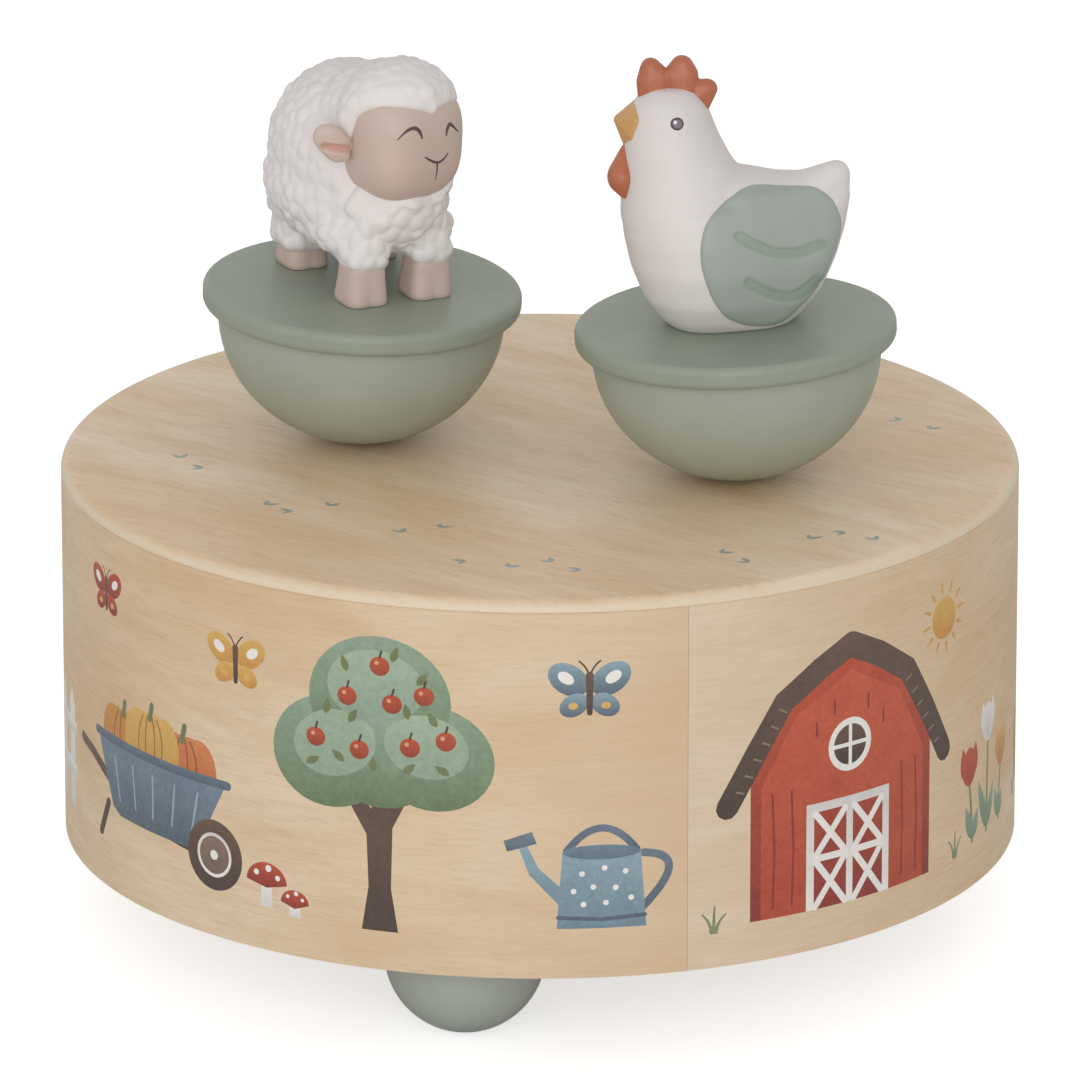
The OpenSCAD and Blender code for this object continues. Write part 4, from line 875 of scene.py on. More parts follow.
def build_side():
    """The sheet around the drum with its print, cut so fine that each motif has its own edge."""
    shapes = side_picture()
    length = 2 * math.pi * DRUM_R - SEAM_GAP
    soft = 0.12
    z0, z1 = Z_BASE, Z_RIM - soft
    columns = 300
    lines = [((length * i / columns, z0), (length * i / columns, z1)) for i in range(1, columns)]
    flat, faces, tops = cut_sheet([(0, z0), (length, z0), (length, z1), (0, z1)], lines, shapes)
    printed = len(faces)

    def on_wall(s, r):
        a = SEAM_ANGLE + (s + SEAM_GAP / 2) / DRUM_R
        return r * math.cos(a), r * math.sin(a)

    def along_edge(axis, value):
        """The points on one edge of the sheet, in their order along it."""
        found = np.flatnonzero(np.abs(flat[:, axis] - value) < ON_EDGE).tolist()
        return sorted(found, key=lambda i: flat[i][1 - axis])

    verts = [(*on_wall(s, DRUM_R), z) for s, z in flat]
    unrolled = [(s, z, 0) for s, z in flat]
    low, high = along_edge(1, z0), along_edge(1, z1)
    start, end = along_edge(0, 0), along_edge(0, length)

    def copies(ids, r, z):
        """The same points at another radius, and at another height if one is given."""
        for i in ids:
            s, z_old = flat[i]
            verts.append((*on_wall(s, r), z_old if z is None else z))
            unrolled.append((s, z_old, DRUM_R - r))
        return list(range(len(verts) - len(ids), len(verts)))

    low_in = copies(low, VENEER_IN_R, None)
    high_soft = copies(high, DRUM_R - soft, Z_RIM)
    high_in = copies(high, VENEER_IN_R, Z_RIM)
    faces += band(low, low_in)[:-1]
    faces += band(high, high_soft, flip=True)[:-1] + band(high_soft, high_in, flip=True)[:-1]
    # The inner face: both rows share their places along the sheet only at the ends, so it is zipped
    ka = kb = 0
    while ka < len(low) - 1 or kb < len(high) - 1:
        sa = flat[low[ka + 1]][0] if ka < len(low) - 1 else math.inf
        sb = flat[high[kb + 1]][0] if kb < len(high) - 1 else math.inf
        if sa <= sb:
            faces.append((low_in[ka], high_in[kb], low_in[ka + 1]))
            ka += 1
        else:
            faces.append((low_in[ka], high_in[kb], high_in[kb + 1]))
            kb += 1
    faces.append((low_in[0], high_in[0], high_soft[0], *start[::-1]))
    faces.append((*end, high_soft[-1], high_in[-1], low_in[-1]))
    obj = make("veneer_print", verts, faces, SIDE_WOOD, "drum")
    layer = obj.data.attributes.new("unrolled", "FLOAT_VECTOR", "POINT")
    layer.data.foreach_set("vector", (np.array(unrolled) * MM).ravel().astype(np.float32))
    paint_faces(obj.data, unrolled, tops, shapes)
    flat_faces(obj.data, printed)
    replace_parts(obj, "veneer_wrap")


def flat_faces(mesh, smooth_count):
    """Smooth only the first faces, and give them the normals of the round wall."""
    mesh.polygons.foreach_set("use_smooth", [i < smooth_count for i in range(len(mesh.polygons))])
    normals = []
    for polygon in mesh.polygons:
        for k in polygon.loop_indices:
            co = mesh.vertices[mesh.loops[k].vertex_index].co
            on_wall = polygon.index < smooth_count
            normals.append(tuple(Vector((co.x, co.y, 0)).normalized() if on_wall else polygon.normal))
    mesh.normals_split_custom_set(normals)


# The printed leaves on the lid, in pairs: place of the stalks and the way of the first leaf in degrees
SPRIGS = (
    (-34, -22, 12), (-30.5, -24.5, 150), (-26, -22.5, 40), (-9, -44, 170), (-4, -46.5, 20), (1.5, -44.5, 100),
    (5, -47.5, 150), (33, -35.5, 30), (37.5, -33, 160), (41, -36, 80), (-45, -3, 60), (-42, -7, 140),
    (49, 9, 20), (45.5, 12.5, 110), (-17, -33, 75), (-12.5, -31, 15), (17, 46, 20), (12, 48, 130),
    (-30, 40, 50), (-34, 36, 120), (38, 34, 70), (34.5, 37, 0), (22, -41, 10), (25.5, -44.5, 120),
)


def build_lid():
    """The lid: a flat round top with small printed leaves, a rounded rim and a plug that drops into the ring."""
    p = Picture()
    for x, y, a in SPRIGS:
        p.at(x, y)
        p.leaf(0, 0, 1.9, 0.75, a, (148, 158, 150))
        p.leaf(0, 0, 1.7, 0.7, a + 64, (156, 164, 158))
    flat_r = DRUM_R - LID_ROUND
    ring = [(flat_r * math.cos(a), flat_r * math.sin(a)) for a in circle(240)]
    flat, faces, tops = cut_sheet(ring, [], p.shapes)
    verts = [(x, y, Z_LID) for x, y in flat]
    soft = 0.14
    quarter = [math.pi / 2 * k / 10 for k in range(1, 10)]
    profile = [(flat_r + LID_ROUND * math.sin(a), Z_RIM + LID_ROUND * math.cos(a)) for a in quarter]
    profile += [(DRUM_R - 0.002, Z_RIM + soft), (DRUM_R - soft, Z_RIM), (LID_PLUG_R, Z_RIM), (LID_PLUG_R, Z_LID_UNDER)]
    angles = {i: math.atan2(y, x) for i, (x, y) in enumerate(flat) if math.hypot(x, y) > flat_r - ON_EDGE}
    rows = [sorted(angles, key=angles.get)]
    for r, z in profile:
        rows += rows_of(len(verts), len(angles), 1)
        verts += [(r * math.cos(angles[i]), r * math.sin(angles[i]), z) for i in rows[0]]
    for a, b in zip(rows, rows[1:]):
        faces += band(a, b)
    faces.append(tuple(rows[-1][::-1]))
    obj = make("lid_print", verts, faces, LID_WOOD, "drum")
    paint_faces(obj.data, flat, tops, p.shapes)
    # Smooth along the rounded edge, sharp where the lid turns under
    for edge in obj.data.edges:
        if all(obj.data.vertices[i].co.z < (Z_RIM + 0.2) * MM for i in edge.vertices):
            edge.use_edge_sharp = True
    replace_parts(obj, "top_plate")


build_side()
build_lid()


# ---------------------------------------------------------------- smooth curves


def through(points, steps, closed=False):
    """A smooth curve through flat points."""
    pts = np.asarray(points, float)
    pts = np.concatenate([pts[-1:], pts, pts[:2]]) if closed else np.concatenate([pts[:1], pts, pts[-1:]])
    out = []
    for i in range(1, len(pts) - 2):
        a, b, c, d = pts[i - 1 : i + 3]
        for k in range(steps):
            u = k / steps
            out.append(0.5 * (
                2 * b + (c - a) * u + (2 * a - 5 * b + 4 * c - d) * u**2 + (3 * b - a - 3 * c + d) * u**3
            ))
    return np.array(out if closed else [*out, pts[-1]])


def depth_inside(points, ring):
    """How far flat points lie inside a closed ring, and negative outside."""
    far = np.full(len(points), math.inf)
    inside = np.zeros(len(points), bool)
    for (x0, y0), (x1, y1) in zip(ring, np.roll(ring, -1, 0)):
        edge = np.array((x1 - x0, y1 - y0))
        off = points - (x0, y0)
        along = np.clip(off @ edge / (edge @ edge), 0, 1)
        far = np.minimum(far, np.linalg.norm(off - along[:, None] * edge, axis=1))
        spans = (y0 > points[:, 1]) != (y1 > points[:, 1])
        rise = y1 - y0 if y1 != y0 else 1.0
        inside ^= spans & (points[:, 0] < (x1 - x0) * (points[:, 1] - y0) / rise + x0)
    return np.where(inside, far, -far)


def step(value, low, high):
    """From 0 at low to 1 at high, with soft ends."""
    u = np.clip((value - low) / (high - low), 0, 1)
    return u * u * (3 - 2 * u)


# ---------------------------------------------------------------- sheep

HEAD_AT = Vector((7.0, 0, 23.0))
# The head's own frame looks along +X
HEAD = Matrix.Translation(HEAD_AT) @ turn("Z", 11.0)
FACE_AT = np.array((0.6, 0, -1.95))
FACE_HALF = np.array((6.2, 7.05, 7.45))
# Exponent of the face's round-cornered form: 2 is an ellipsoid, and more is boxier
FACE_BOXY = 2.9
# The edge of the wool around the face, seen from its middle: degrees aside and degrees up
FACE_EDGE = (
    (2, 39.8), (-4.6, 42.1), (-15.8, 44.3), (-28, 45.4), (-39, 45.4), (-50, 45), (-61.5, 44.3), (-72.5, 42),
    (-87.5, 35.6), (-95.5, 28), (-98.5, 18), (-101, 7.6), (-100.5, -4.4), (-105.7, -15), (-114.6, -25), (-116, -36),
    (-112, -50), (-97, -58), (-76, -60), (-45, -57), (-20, -56), (2, -58), (18, -58), (29, -54), (37, -45), (43, -32),
    (49, -19), (56, -9), (66, -3), (78, 3), (86, 14), (80, 26), (65, 35), (46.6, 39.6), (29.8, 43.7), (18.3, 43.6),
    (9.8, 42.7),
)
BODY_AT = Vector((-3.9, -0.3, 16.25))
LEGS = ((7.2, -4.6), (7.2, 4.35), (-8.6, -4.9), (-8.6, 4.9))
HOOF_H = 4.6
WOOL_VOXEL = 0.28
WOOL_SMOOTHING = 14


def wool_skin():
    """The body, neck, head and legs of the sheep as one smooth form, before the curls."""
    bm = bmesh.new()
    add_ellipsoid(bm, BODY_AT, (25.3, 20.5, 22.1))
    add_ellipsoid(bm, BODY_AT - Vector((0.5, 0, 4.6)), (25.3, 21.3, 14.4))
    rear = ((11.4, 10.4, 9), (7.8, 9.8, 6.6))
    add_hull(bm, *(ball_points((-8.1, y, z), (12.4, w, h)) for y in (-4.2, 4.2) for z, w, h in rear))
    add_hull(bm, *(ball_points((x, y, 8.2), (10, 9, 6.6)) for x in (-5, 3.5) for y in (-4.6, 4.6)))
    add_ellipsoid(bm, HEAD_AT, (16.2, 16.2, 16.2))
    add_ellipsoid(bm, (1.6, 0, 22.1), (15.0, 15.6, 14.0))
    add_hull(bm, ball_points((6.2, 0.3, 16.2), (14.2, 14.2, 10)), ball_points(HEAD_AT, (15.4, 15.4, 10)))
    add_hull(bm, ball_points((5.4, 0, 12.9), (12.8, 14.6, 13.4)), ball_points((4.8, 0, 19), (10, 13, 10)))
    for x, y in LEGS:
        # Each leg runs from four balls at its square cuff to one above
        w, low = (5.9, HOOF_H + 1.2) if x > 0 else (7.5, HOOF_H - 1.0)
        corners = [(x + i, y + k, low) for i in (-1.15, 1.15) for k in (-1.15, 1.15)]
        add_hull(
            bm, *(ball_points(corner, (w - 2.5, w - 2.5, 3.2)) for corner in corners),
            ball_points((x * 0.95, y * 0.87, HOOF_H + 5.8), (w, w - 0.3, 4)),
        )
    return fuse(bm, WOOL_VOXEL, WOOL_SMOOTHING)


def face_reach(ways):
    """How far the face lies from its middle in each direction."""
    return (np.abs(ways / FACE_HALF) ** FACE_BOXY).sum(1) ** (-1 / FACE_BOXY)


def bare_face(verts):
    """Brings the wool down to its edge around the face, and under the face inside it."""
    to_head = np.array(HEAD.inverted())
    off = verts @ to_head[:3, :3].T + to_head[:3, 3] - FACE_AT
    reach = np.linalg.norm(off, axis=1)
    ways = off / reach[:, None]
    face = face_reach(ways)
    seen = np.degrees(np.stack([np.arctan2(ways[:, 1], ways[:, 0]), np.arcsin(ways[:, 2])], 1))
    inside = depth_inside(seen, through(FACE_EDGE, 4, True))
    # The wool thins towards its edge over 14 degrees, but not below the chin
    fringe = 1 - 0.65 * (1 - step(-inside, -1, 14)) * step(seen[:, 1], -40, -5)
    low = np.where(reach > face, face + (reach - face) * fringe, reach)
    bare = np.minimum(reach, face - 0.8)
    # What lies further out than the wool of the head, such as the chest, isn't bared
    share = step(inside, -0.8, 1.6) * (1 - step(reach - face, 2.0, 3.2))
    new = low + (bare - low) * share
    moved = ways * new[:, None] + FACE_AT
    from_head = np.array(HEAD)
    return moved @ from_head[:3, :3].T + from_head[:3, 3]


def curl_centres(verts, gap, seed):
    """Points of the skin that lie at least gap apart, taken in a fixed shuffled order."""
    taken = []
    grid = {}
    around = [(x, y, z) for x in (-1, 0, 1) for y in (-1, 0, 1) for z in (-1, 0, 1)]
    for i in np.random.RandomState(seed).permutation(len(verts)):
        x, y, z = (verts[i] // gap).astype(int).tolist()
        near = (j for dx, dy, dz in around for j in grid.get((x + dx, y + dy, z + dz), ()))
        if all(np.linalg.norm(verts[i] - verts[j]) >= gap for j in near):
            grid.setdefault((x, y, z), []).append(i)
            taken.append(i)
    return verts[taken]


def relax(verts, faces, steps, factor):
    """Moves each point part of the way to the middle of its neighbours."""
    pairs = sides_of(faces)
    pairs = np.concatenate([pairs, pairs[:, ::-1]])
    count = np.bincount(pairs[:, 0], minlength=len(verts))[:, None]
    for _ in range(steps):
        total = np.zeros_like(verts)
        np.add.at(total, pairs[:, 0], verts[pairs[:, 1]])
        verts = verts + (total / np.maximum(count, 1) - verts) * factor
    return verts


def build_wool():
    """The wool: a dome at each curl, with creases between them."""
    curl_gap, curl_r, curl_h, crease_w = 1.5, 1.55, 0.45, 0.75
    verts, faces = wool_skin()
    normals = normals_of(verts, faces)
    # Curls are a little taller than wide, so heights count less
    flat = verts * (1.0, 1.0, 0.74)
    centres = curl_centres(flat, curl_gap, 5)
    tree_of = KDTree(len(centres))
    for i, c in enumerate(centres):
        tree_of.insert(c, i)
    tree_of.balance()
    jitter = np.random.RandomState(11).uniform(0.55, 1.35, len(centres))
    height = np.zeros(len(verts))
    for i, v in enumerate(flat):
        (_, nearest, d1), (_, _, d2) = tree_of.find_n(v, 2)
        crease = min(1.0, (d2 - d1) / crease_w)
        dome = max(0.0, 1 - (d1 / curl_r) ** 2)
        height[i] = curl_h * jitter[nearest] * dome * (0.3 + 0.7 * math.sin(crease * math.pi / 2))
    # Calmer wool on top and by the hooves
    cuff = np.where(verts[:, 0] > 0, 4.4, 2.2)
    calm = np.clip((verts[:, 2] - cuff) / 2.6 + 0.3, 0.3, 1) * (1 - 0.35 * step(verts[:, 2], 23, 29))
    verts = relax(verts + normals * (height * calm - 0.12)[:, None], faces, 2, 0.4)
    verts = relax(bare_face(verts), faces, 1, 0.3)
    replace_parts(piece("sheep", "wool", flatten_base(verts, 1.5), faces, WOOL), "sheep")


def build_hooves():
    """Blunt hooves with square corners and a shallow cleft at the front."""
    parts = []
    sides = 60
    # Radius and height of each row of points, from the ground up into the wool
    profile = [(2.66, 0.02), (2.86, 0.18), (2.86, 0.8), (2.73, 1.9), (2.6, 3.1), (2.52, 4.2), (2.46, 6.4)]
    rows = rows_of(0, sides, len(profile))
    faces = [quad for a, b in zip(rows, rows[1:]) for quad in band(a, b, flip=True)]
    faces += [tuple(rows[0][::-1]), tuple(rows[-1])]
    for x, y in LEGS:
        verts = []
        for r, z in profile:
            low = max(0.0, 1 - z / 2.8)
            for a in circle(sides):
                square = (abs(math.cos(a)) ** 4 + abs(math.sin(a)) ** 4) ** (-1 / 4)
                off = abs(math.remainder(a, 2 * math.pi))
                cleft = 1 - 0.06 * low * math.exp(-((off / 0.17) ** 2))
                toes = 1 + 0.035 * low * math.exp(-(((off - 0.45) / 0.3) ** 2))
                reach = r * square * cleft * toes
                verts.append((x + reach * math.cos(a), y + reach * math.sin(a), z))
        parts.append((verts, faces))
    piece("sheep", "hooves", *joined(*parts), FACE)


# Painted lines of the face: place across, height in the head's frame, half width
FACE_LINES = {
    "near eye": (
        (-5.0, 0.1, 0.06), (-4.6, 0.6, 0.1), (-4.1, 1.12, 0.15), (-3.5, 1.48, 0.19), (-2.9, 1.56, 0.21),
        (-2.4, 1.24, 0.21), (-2.05, 0.64, 0.19), (-1.82, -0.02, 0.12),
    ),
    "far eye": (
        (2.04, -0.3, 0.13), (2.17, 0.31, 0.19), (2.43, 0.88, 0.21), (2.76, 1.17, 0.21), (3.3, 0.78, 0.18),
        (3.9, 0.12, 0.13), (4.38, -0.31, 0.07),
    ),
    "mouth": (
        (-1.28, -2.48, 0.09), (-0.72, -2.9, 0.14), (-0.06, -3.28, 0.16), (0.59, -3.55, 0.17), (1.25, -3.55, 0.16),
        (1.89, -3.2, 0.15), (2.46, -2.6, 0.09),
    ),
    "lip": ((0.74, -3.6, 0.14), (0.82, -4.5, 0.12), (0.82, -5.2, 0.1), (0.8, -5.95, 0.06)),
}


def build_face():
    bm = bmesh.new()
    add_ellipsoid(bm, (0, 0, 0), (2, 2, 2), 6)
    for v in bm.verts:
        way = np.array(v.co.normalized())
        v.co = Vector(FACE_AT + way * face_reach(way[None])[0])
    surface = BVHTree.FromBMesh(bm)
    piece("sheep", "face", *taken_from(as_mesh(bm)), FACE, HEAD)

    def line(points):
        """A painted line that stands hardly proud of the face."""
        placed, widths = [], []
        proud = 0.05
        for (y, z), w in zip(through([p[:2] for p in points], 5), through([(p[2], 0) for p in points], 5)[:, 0]):
            hit, normal, _, _ = surface.ray_cast(Vector((30, y, z)), Vector((-1, 0, 0)))
            r = (w * w + proud * proud) / (2 * proud)
            placed.append(hit - normal * (r - proud))
            widths.append(r)
        return tube(placed, widths, 16)

    piece("sheep", "face_lines", *joined(*map(line, FACE_LINES.values())), LINES, HEAD)


EAR_OUTLINE = (
    (0.0, 1.0), (0.4, 1.5), (1.6, 2.6), (3.1, 3.0), (4.3, 2.5), (4.7, 1.1), (3.8, -0.4), (2.1, -1.9), (0.7, -1.9),
    (0.0, -1.5),
)
# Side, root behind the middle of the head, way out in degrees from straight ahead
EARS = (("right", -1, -0.6, 119), ("left", 1, -1.5, 129))


def build_ears():
    """Rounded leaves beside the face, each with a pink hollow along its middle."""
    ring = through(EAR_OUTLINE, 6, True)
    centre = np.array((2.0, 0.5))
    hollow_from = np.array((0.2, -0.15))
    hollow_way = np.array((3.25, 0.25)) - hollow_from
    m, rings = len(ring), 26
    verts, tints, faces = [], [], []
    for side in (1, -1):
        # Both faces share their outer ring
        for k in range(rings + (side > 0)):
            u = k / rings
            for p in ring if k else (centre,):
                flat = centre + (p - centre) * u
                off = flat - hollow_from
                along = np.clip(off @ hollow_way / (hollow_way @ hollow_way), 0, 1)
                gap = np.linalg.norm(off - along * hollow_way)
                hollow = math.exp(-((gap / 0.52) ** 4)) if side > 0 else 0.0
                verts.append((flat[0], side * 0.95 * (1 - u * u) ** 0.42 - 0.4 * hollow, flat[1]))
                tints.append((1 - 0.02 * hollow, 1 - 0.3 * hollow, 1 - 0.34 * hollow, 1))
    front = [[0] * m] + rows_of(1, m, rings)
    first = 1 + rings * m
    back = [[first] * m] + rows_of(first + 1, m, rings - 1) + [front[-1]]
    for rows, flip in ((front, 1), (back, -1)):
        for a, b in zip(rows, rows[1:]):
            # At the middle the quads shrink to triangles
            faces += [(quad if quad[0] != quad[3] else quad[:3])[::flip] for quad in band(a, b)]
    for name, s, back_by, angle in EARS:
        pose = HEAD @ Matrix.Diagonal((1, -s, 1, 1)) @ Matrix.Translation((back_by, -7.3, -2.2)) @ turn("Z", -angle)
        tinted(piece("sheep", "ear_" + name, verts, faces if s < 0 else [f[::-1] for f in faces], EAR, pose), tints)


def tinted(obj, tints):
    """Gives each point of a shape a colour that its paint is multiplied by."""
    layer = obj.data.color_attributes.new("shade", "FLOAT_COLOR", "POINT")
    layer.data.foreach_set("color", np.array(tints, np.float32).ravel())


build_wool()
build_hooves()
build_face()
build_ears()


# ---------------------------------------------------------------- hen

# Level slices: height, front, back, radius of the front arc, radius of the back arc
HEN_ROWS = (
    (0, -8.2, 7.2, 5.6, 5.0), (1.6, -9.6, 8.9, 7.2, 5.6), (4, -11.2, 10.9, 8.7, 6.0),
    (8, -12.6, 12.8, 9.6, 5.6), (12, -13.3, 14.1, 9.4, 4.6), (16, -13.4, 14.9, 8.5, 3.4),
)
NECK_ROWS = (
    (14, -13.6, 4.0, 8.6, 7.0), (18.6, -13.3, 1.9, 7.5, 6.2), (21, -13.05, 0.3, 6.9, 5.8), (24, -12.7, -1.1, 6.3, 5.2),
    (27, -12.05, -2.1, 5.6, 4.7), (29.2, -11.0, -3.1, 4.5, 3.8), (30.5, -9.4, -4.6, 2.6, 2.4),
)
# The back: middle and size of the ellipsoids that it is stretched over, up to the tip of the tail
HEN_BACK = (
    ((0.9, 0, 16.1), (8.6, 13.4, 6.9)), ((5.2, 0, 15.8), (8, 10.6, 5.8)), ((9.2, 0, 15.8), (6, 8.4, 5.6)),
    ((13.3, 0, 18.1), (3.4, 3.4, 3.9)),
)
# The three lobes of the comb, from the front: middle and size of the ellipsoids of each
COMB_LOBES = (
    (
        ((-9.1, 0, 32.9), (2.6, 2.5, 2.7)), ((-9.3, 0, 31.2), (3.3, 3.2, 3.2)), ((-7.85, 0, 31.7), (2.4, 2.8, 2.7)),
        ((-8.6, 0, 29.3), (4.5, 3.4, 2.8)),
    ),
    (
        ((-5.25, 0, 32.95), (2.9, 2.5, 2.9)), ((-6.4, 0, 31.8), (2.4, 2.8, 2.8)), ((-4.7, 0, 31.9), (2.9, 3.0, 2.9)),
        ((-5.2, 0, 29.4), (4.0, 3.4, 3.2)),
    ),
    (
        ((-2.35, 0, 29.95), (2.8, 2.4, 2.6)), ((-3.3, 0, 30.15), (2.2, 2.4, 2.1)), ((-3.9, 0, 28.9), (3.2, 3.0, 3.0)),
        ((-2.65, 0, 27.9), (1.3, 1.6, 1.8)),
    ),
)
HEN_VOXEL = 0.3
HEN_SMOOTHING = 30
# Place of the eyes in the outlines of the side
EYE_AT = (-6.14, 25.36)
# The rounds of an eye: name, width, thickness, height above the skin, forward, up, paint
EYE_ROUNDS = (
    ("eye", 1.74, 0.5, -0.13, 0, 0, EYE), ("iris", 1.15, 0.3, 0.02, -0.08, -0.06, IRIS),
    ("glint", 0.52, 0.2, 0.1, 0.22, 0.14, GLINT),
)


def slice_points(z, x0, x1, r, tail):
    """A level slice of the hen: two arcs along its length."""
    r_front = min(r, (x1 - x0) / 2)
    pts = []
    for a in circle(36):
        pts.append((x0 + r_front + math.cos(a) * r_front, r * math.sin(a), z))
        pts.append((x1 - tail + tail * math.cos(a), tail * math.sin(a), z))
    return pts


def build_hen():
    bm = bmesh.new()
    for rows in (HEN_ROWS, NECK_ROWS):
        for a, b in zip(rows, rows[1:]):
            add_hull(bm, slice_points(*a), slice_points(*b))
    for a, b in zip(HEN_BACK, HEN_BACK[1:]):
        add_hull(bm, ball_points(*a), ball_points(*b))
    add_hull(bm, ball_points((13.0, 0, 17.4), (3.8, 3.4, 3.4)), ball_points((11, 0, 13), (5.6, 7, 6)))
    verts, faces = fuse(bm, HEN_VOXEL, HEN_SMOOTHING)
    # Smoothing draws the skin in a little, which this gives back
    verts = flatten_base(verts + normals_of(verts, faces) * 0.1, 0.02)
    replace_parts(piece("hen", "body", verts, faces, WHITE), "hen")
    surface = BVHTree.FromPolygons([Vector(v) for v in verts], faces)

    moulded("comb", COMB, 0.15, 3, *COMB_LOBES)
    beak = [((-13.4, 0, 26.5), (1.1, 1.1, 1.2)), ((-12.5, 0, 23.55), (0.9, 2.6, 1.0))]
    for s in (-1, 1):
        beak += [
            ((-10.9, s * 1.2, 28.25), (1.0, 1.3, 1.0)), ((-11.1, s * 3.0, 27.0), (1.0, 1.4, 1.6)),
            ((-11.7, s * 2.7, 25.2), (1.0, 1.4, 1.4)),
        ]
    moulded("beak", BEAK, 0.14, 3, beak)
    # The far drop hangs a little lower and further back
    drops = [
        (
            ((x - 13.2, s * 1.9, z + 19.7), (3.7, 4.6, 4.3)), ((x - 12.6, s * 0.9, z + 22.9), (1.3, 1.5, 1.3)),
            ((x - 12.75, s * 2.1, z + 17.65), (1.8, 2.4, 1.5)),
        )
        for s, x, z in ((-1, 0, 0), (1, 0.5, -1.1))
    ]
    moulded("wattle", COMB, 0.15, 4, *drops)

    for s, name in ((-1, "right"), (1, "left")):
        build_wing(surface, s, name)
        hit, normal = on_side(surface, s, EYE_AT)
        out = normal.to_track_quat("Z", "Y").to_matrix().to_4x4()
        for part, width, thick, lift, forward, up, paint_of in EYE_ROUNDS:
            place = out.inverted() @ Vector((-1, 0, 0)) * forward + out.inverted() @ Vector((0, 0, 1)) * up
            bm = bmesh.new()
            add_ellipsoid(bm, (place.x, place.y, lift), (width, width, thick), 3)
            pose = Matrix.Translation(hit) @ out
            piece("hen", f"{part}_{name}", *taken_from(as_mesh(bm)), paint_of, pose)


def moulded(name, paint_of, voxel, smooth_steps, *groups):
    """A small piece fused from groups of ellipsoids, each group stretched over as one form."""
    bm = bmesh.new()
    for group in groups:
        add_hull(bm, *(ball_points(c, size) for c, size in group))
    piece("hen", name, *fuse(bm, voxel, smooth_steps), paint_of)


# Outlines on the sides of the hen, as they look from some way above: place along and apparent height
LOOK_ANGLE = math.radians(19.5)
LOOK_DOWN = Vector((0, math.cos(LOOK_ANGLE), -math.sin(LOOK_ANGLE)))
WING_OUTLINE = (
    (3.55, 17.47), (2.48, 17.3), (1.17, 16.58), (0.5, 15.95), (-0.49, 15.25), (-1.6, 14.13), (-2.6, 13.0),
    (-3.3, 11.75), (-3.76, 10.2), (-3.97, 8.66), (-3.97, 7.09), (-3.78, 5.73), (-3.44, 4.36), (-2.91, 2.76),
    (-2.12, 1.17), (-1.19, 0.04), (-0.1, -0.62), (1.33, -1.1), (2.82, -1.27), (4.33, -1.2), (5.7, -0.8), (7.0, 0.1),
    (8.25, 1.3), (9.4, 2.45), (10.4, 3.73), (11.3, 5.1), (12.11, 6.79), (12.85, 8.6), (13.42, 10.55), (13.56, 12.3),
    (13.25, 13.5), (12.62, 14.83), (11.59, 15.88), (10.34, 16.6), (8.86, 16.93), (6.94, 17.2), (5.04, 17.41),
)
GROOVES = (
    (
        (0.81, 10.33), (1.96, 9.62), (3.22, 8.95), (4.69, 8.3), (6.6, 8.06), (8.32, 8.2), (9.61, 8.66), (10.81, 9.1),
    ),
    ((1.75, 4.4), (2.81, 3.74), (4.06, 3.08), (5.97, 2.59), (7.47, 2.71), (8.78, 3.47), (9.99, 4.54)),
)
WING_H = 0.55
WING_EDGE = 1.1


def on_side(surface, s, place):
    """Where a place of the outlines lies on the skin, and the way out there."""
    way = Vector((0, -s * LOOK_DOWN.y, LOOK_DOWN.z))
    hit, normal, _, _ = surface.ray_cast(Vector((place[0], 0, place[1])) - way * 40, way)
    return hit, normal


def build_wing(surface, s, name):
    """A raised wing that lies on the side of the hen, with two scored feathers."""
    ring = through(WING_OUTLINE, 4, True)
    if s > 0:
        # The far wing starts lower, so that the back hides it
        ring[:, 1] -= 1.3 * step(ring[:, 1], 12, 17.4)
    centre = np.array((4.8, 8.4))
    for p in ring:
        # Where the outline leaves the side of the hen, it is drawn in until it stays just inside
        while on_side(surface, s, p)[0] is None:
            p[:] = centre + (p - centre) * 0.996
    rings = 46
    grooves = [through(g, 10) for g in GROOVES]
    verts, shades = [], []
    for k in range(rings + 1):
        for p in ring if k else (centre,):
            flat = centre + (p - centre) * k / rings
            hit, normal = on_side(surface, s, flat)
            gap = min(np.min(np.linalg.norm(g - flat, axis=1)) for g in grooves)
            cut = math.exp(-((gap / 0.64) ** 8))
            rim = math.exp(-(((gap - 0.6) / 0.16) ** 2))
            edge = min(1.0, np.linalg.norm(p - flat) / WING_EDGE) if k else 1.0
            # The wing lies flush where it nears the ridge of the back
            height = WING_H * (1 - 0.85 * step(normal.z, 0.55, 0.92) * step(flat[1], 15.2, 16.8))
            rise = height * math.sqrt(1 - (1 - edge) ** 2) - 0.16 * cut - 0.08 * rim - 0.06
            verts.append(tuple(hit + normal * rise))
            shades.append((1 - 0.17 * cut - 0.09 * rim, 1 - 0.1 * cut - 0.07 * rim, 1 - 0.19 * cut - 0.1 * rim, 1))
    # The rim turns into the body, and a hidden back closes the piece
    m = len(ring)
    middle = Vector(verts[0]) - on_side(surface, s, centre)[1] * 3.0
    verts += [tuple(Vector(v).lerp(middle, 0.12)) for v in verts[-m:]]
    shades += [(1, 1, 1, 1)] * (m + 1)
    rows = rows_of(1, m, rings + 1)
    faces = fan(rows[0], 0)
    for a, b in zip(rows, rows[1:]):
        faces += band(a, b)
    faces += fan(rows[-1], len(verts), flip=True)
    verts.append(tuple(middle))
    if s > 0:
        faces = [f[::-1] for f in faces]
    tinted(piece("hen", "wing_" + name, verts, faces, WING), shades)


build_hen()


# ---------------------------------------------------------------- floor, light and camera

CAMERA_AT = (0, -1.3877, 0.5039)
CAMERA_TILT = math.radians(71.87)
TOY_MIDDLE = (0, 0, 0.06)
WHITE_LIGHT = (1, 1, 1, 1)


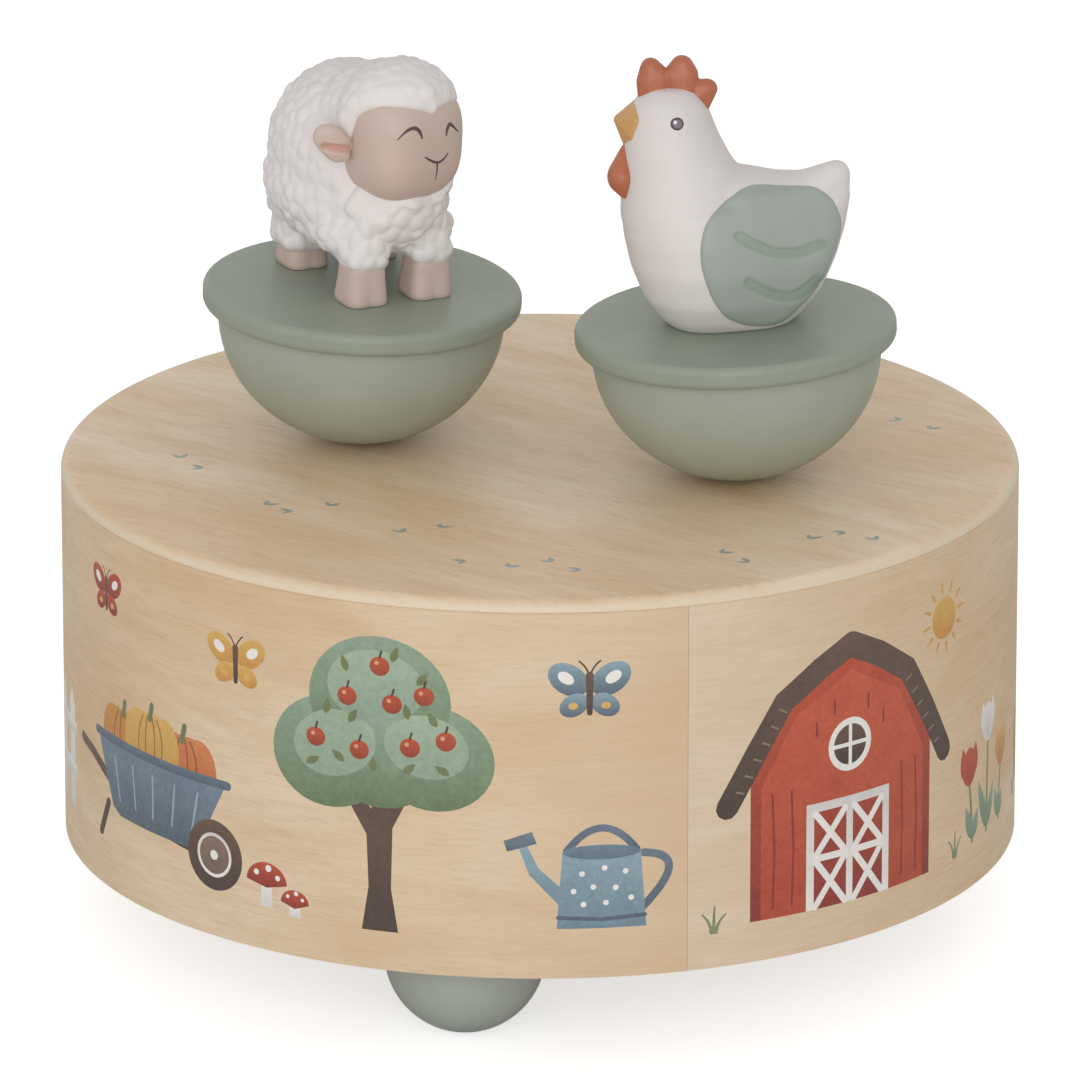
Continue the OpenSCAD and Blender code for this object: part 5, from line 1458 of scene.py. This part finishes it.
def build_floor():
    """A pale floor that also glows a little, but only as the camera sees it."""
    look = Look("floor", (0.86, 0.86, 0.86, 1), 0.9, specular=0.0)
    glow = look.add("ShaderNodeEmission")
    look.set(glow, "Color", WHITE_LIGHT)
    look.set(glow, "Strength", 0.62)
    both = look.add("ShaderNodeAddShader")
    look.link(look.surface.outputs["BSDF"], both.inputs[0])
    look.link(glow.outputs["Emission"], both.inputs[1])
    pick = look.add("ShaderNodeMixShader")
    look.link(look.add("ShaderNodeLightPath").outputs["Is Camera Ray"], pick.inputs["Fac"])
    look.link(look.surface.outputs["BSDF"], pick.inputs[1])
    look.link(both.outputs["Shader"], pick.inputs[2])
    output = next(n for n in look.tree.nodes if n.type == "OUTPUT_MATERIAL")
    look.link(pick.outputs["Shader"], output.inputs["Surface"])
    # It lies a hair below the feet
    bpy.ops.mesh.primitive_circle_add(vertices=96, radius=4.0, fill_type="NGON", location=(0, 0, -0.00005))
    floor = bpy.context.active_object
    floor.name = "floor"
    floor.data.materials.append(look.material)


def build_world():
    """Soft light from all sides, and plain white where the camera, a reflection or glass looks past the toy."""
    world = bpy.data.worlds.new("studio")
    bpy.context.scene.world = world
    world.use_nodes = True
    sky = Nodes(world.node_tree)
    sky.tree.nodes.clear()
    shaders = []
    for colour, strength in (((1.0, 0.99, 0.98, 1), 0.565), (WHITE_LIGHT, 1.0)):
        shaders.append(sky.add("ShaderNodeBackground"))
        sky.set(shaders[-1], "Color", colour)
        sky.set(shaders[-1], "Strength", strength)
    rays = sky.add("ShaderNodeLightPath")
    seen = rays.outputs["Is Camera Ray"]
    for other in ("Is Glossy Ray", "Is Transmission Ray"):
        most = sky.add("ShaderNodeMath", operation="MAXIMUM")
        sky.link(seen, most.inputs[0])
        sky.link(rays.outputs[other], most.inputs[1])
        seen = most.outputs[0]
    pick = sky.add("ShaderNodeMixShader")
    for source, socket in zip((seen, shaders[0].outputs[0], shaders[1].outputs[0]), pick.inputs):
        sky.link(source, socket)
    sky.link(pick.outputs[0], sky.add("ShaderNodeOutputWorld").inputs["Surface"])


def add_object(name, data, place):
    """A light or a camera at a place."""
    obj = bpy.data.objects.new(name, data)
    bpy.context.scene.collection.objects.link(obj)
    obj.location = place
    return obj


def lamp(name, place, size, watts):
    """A round lamp that points at the middle of the toy."""
    light = bpy.data.lights.new(name, "AREA")
    light.shape = "DISK"
    light.size = size
    light.energy = watts
    way = Vector(TOY_MIDDLE) - Vector(place)
    add_object(name, light, place).rotation_euler = way.to_track_quat("-Z", "Y").to_euler()


def build_camera():
    data = bpy.data.cameras.new("camera")
    data.sensor_width = 36.0
    data.lens = 387.5
    data.clip_start = 0.1
    data.clip_end = 20.0
    camera = add_object("camera", data, CAMERA_AT)
    camera.rotation_euler = (CAMERA_TILT, 0, 0)
    bpy.context.scene.camera = camera
    bpy.context.scene.view_settings.view_transform = "Standard"


build_floor()
build_world()
lamp("key", (0, -1.3, 0.45), 0.9, 5.8)
lamp("side", (-1.1, -0.8, 0.6), 0.9, 1.35)
build_camera()
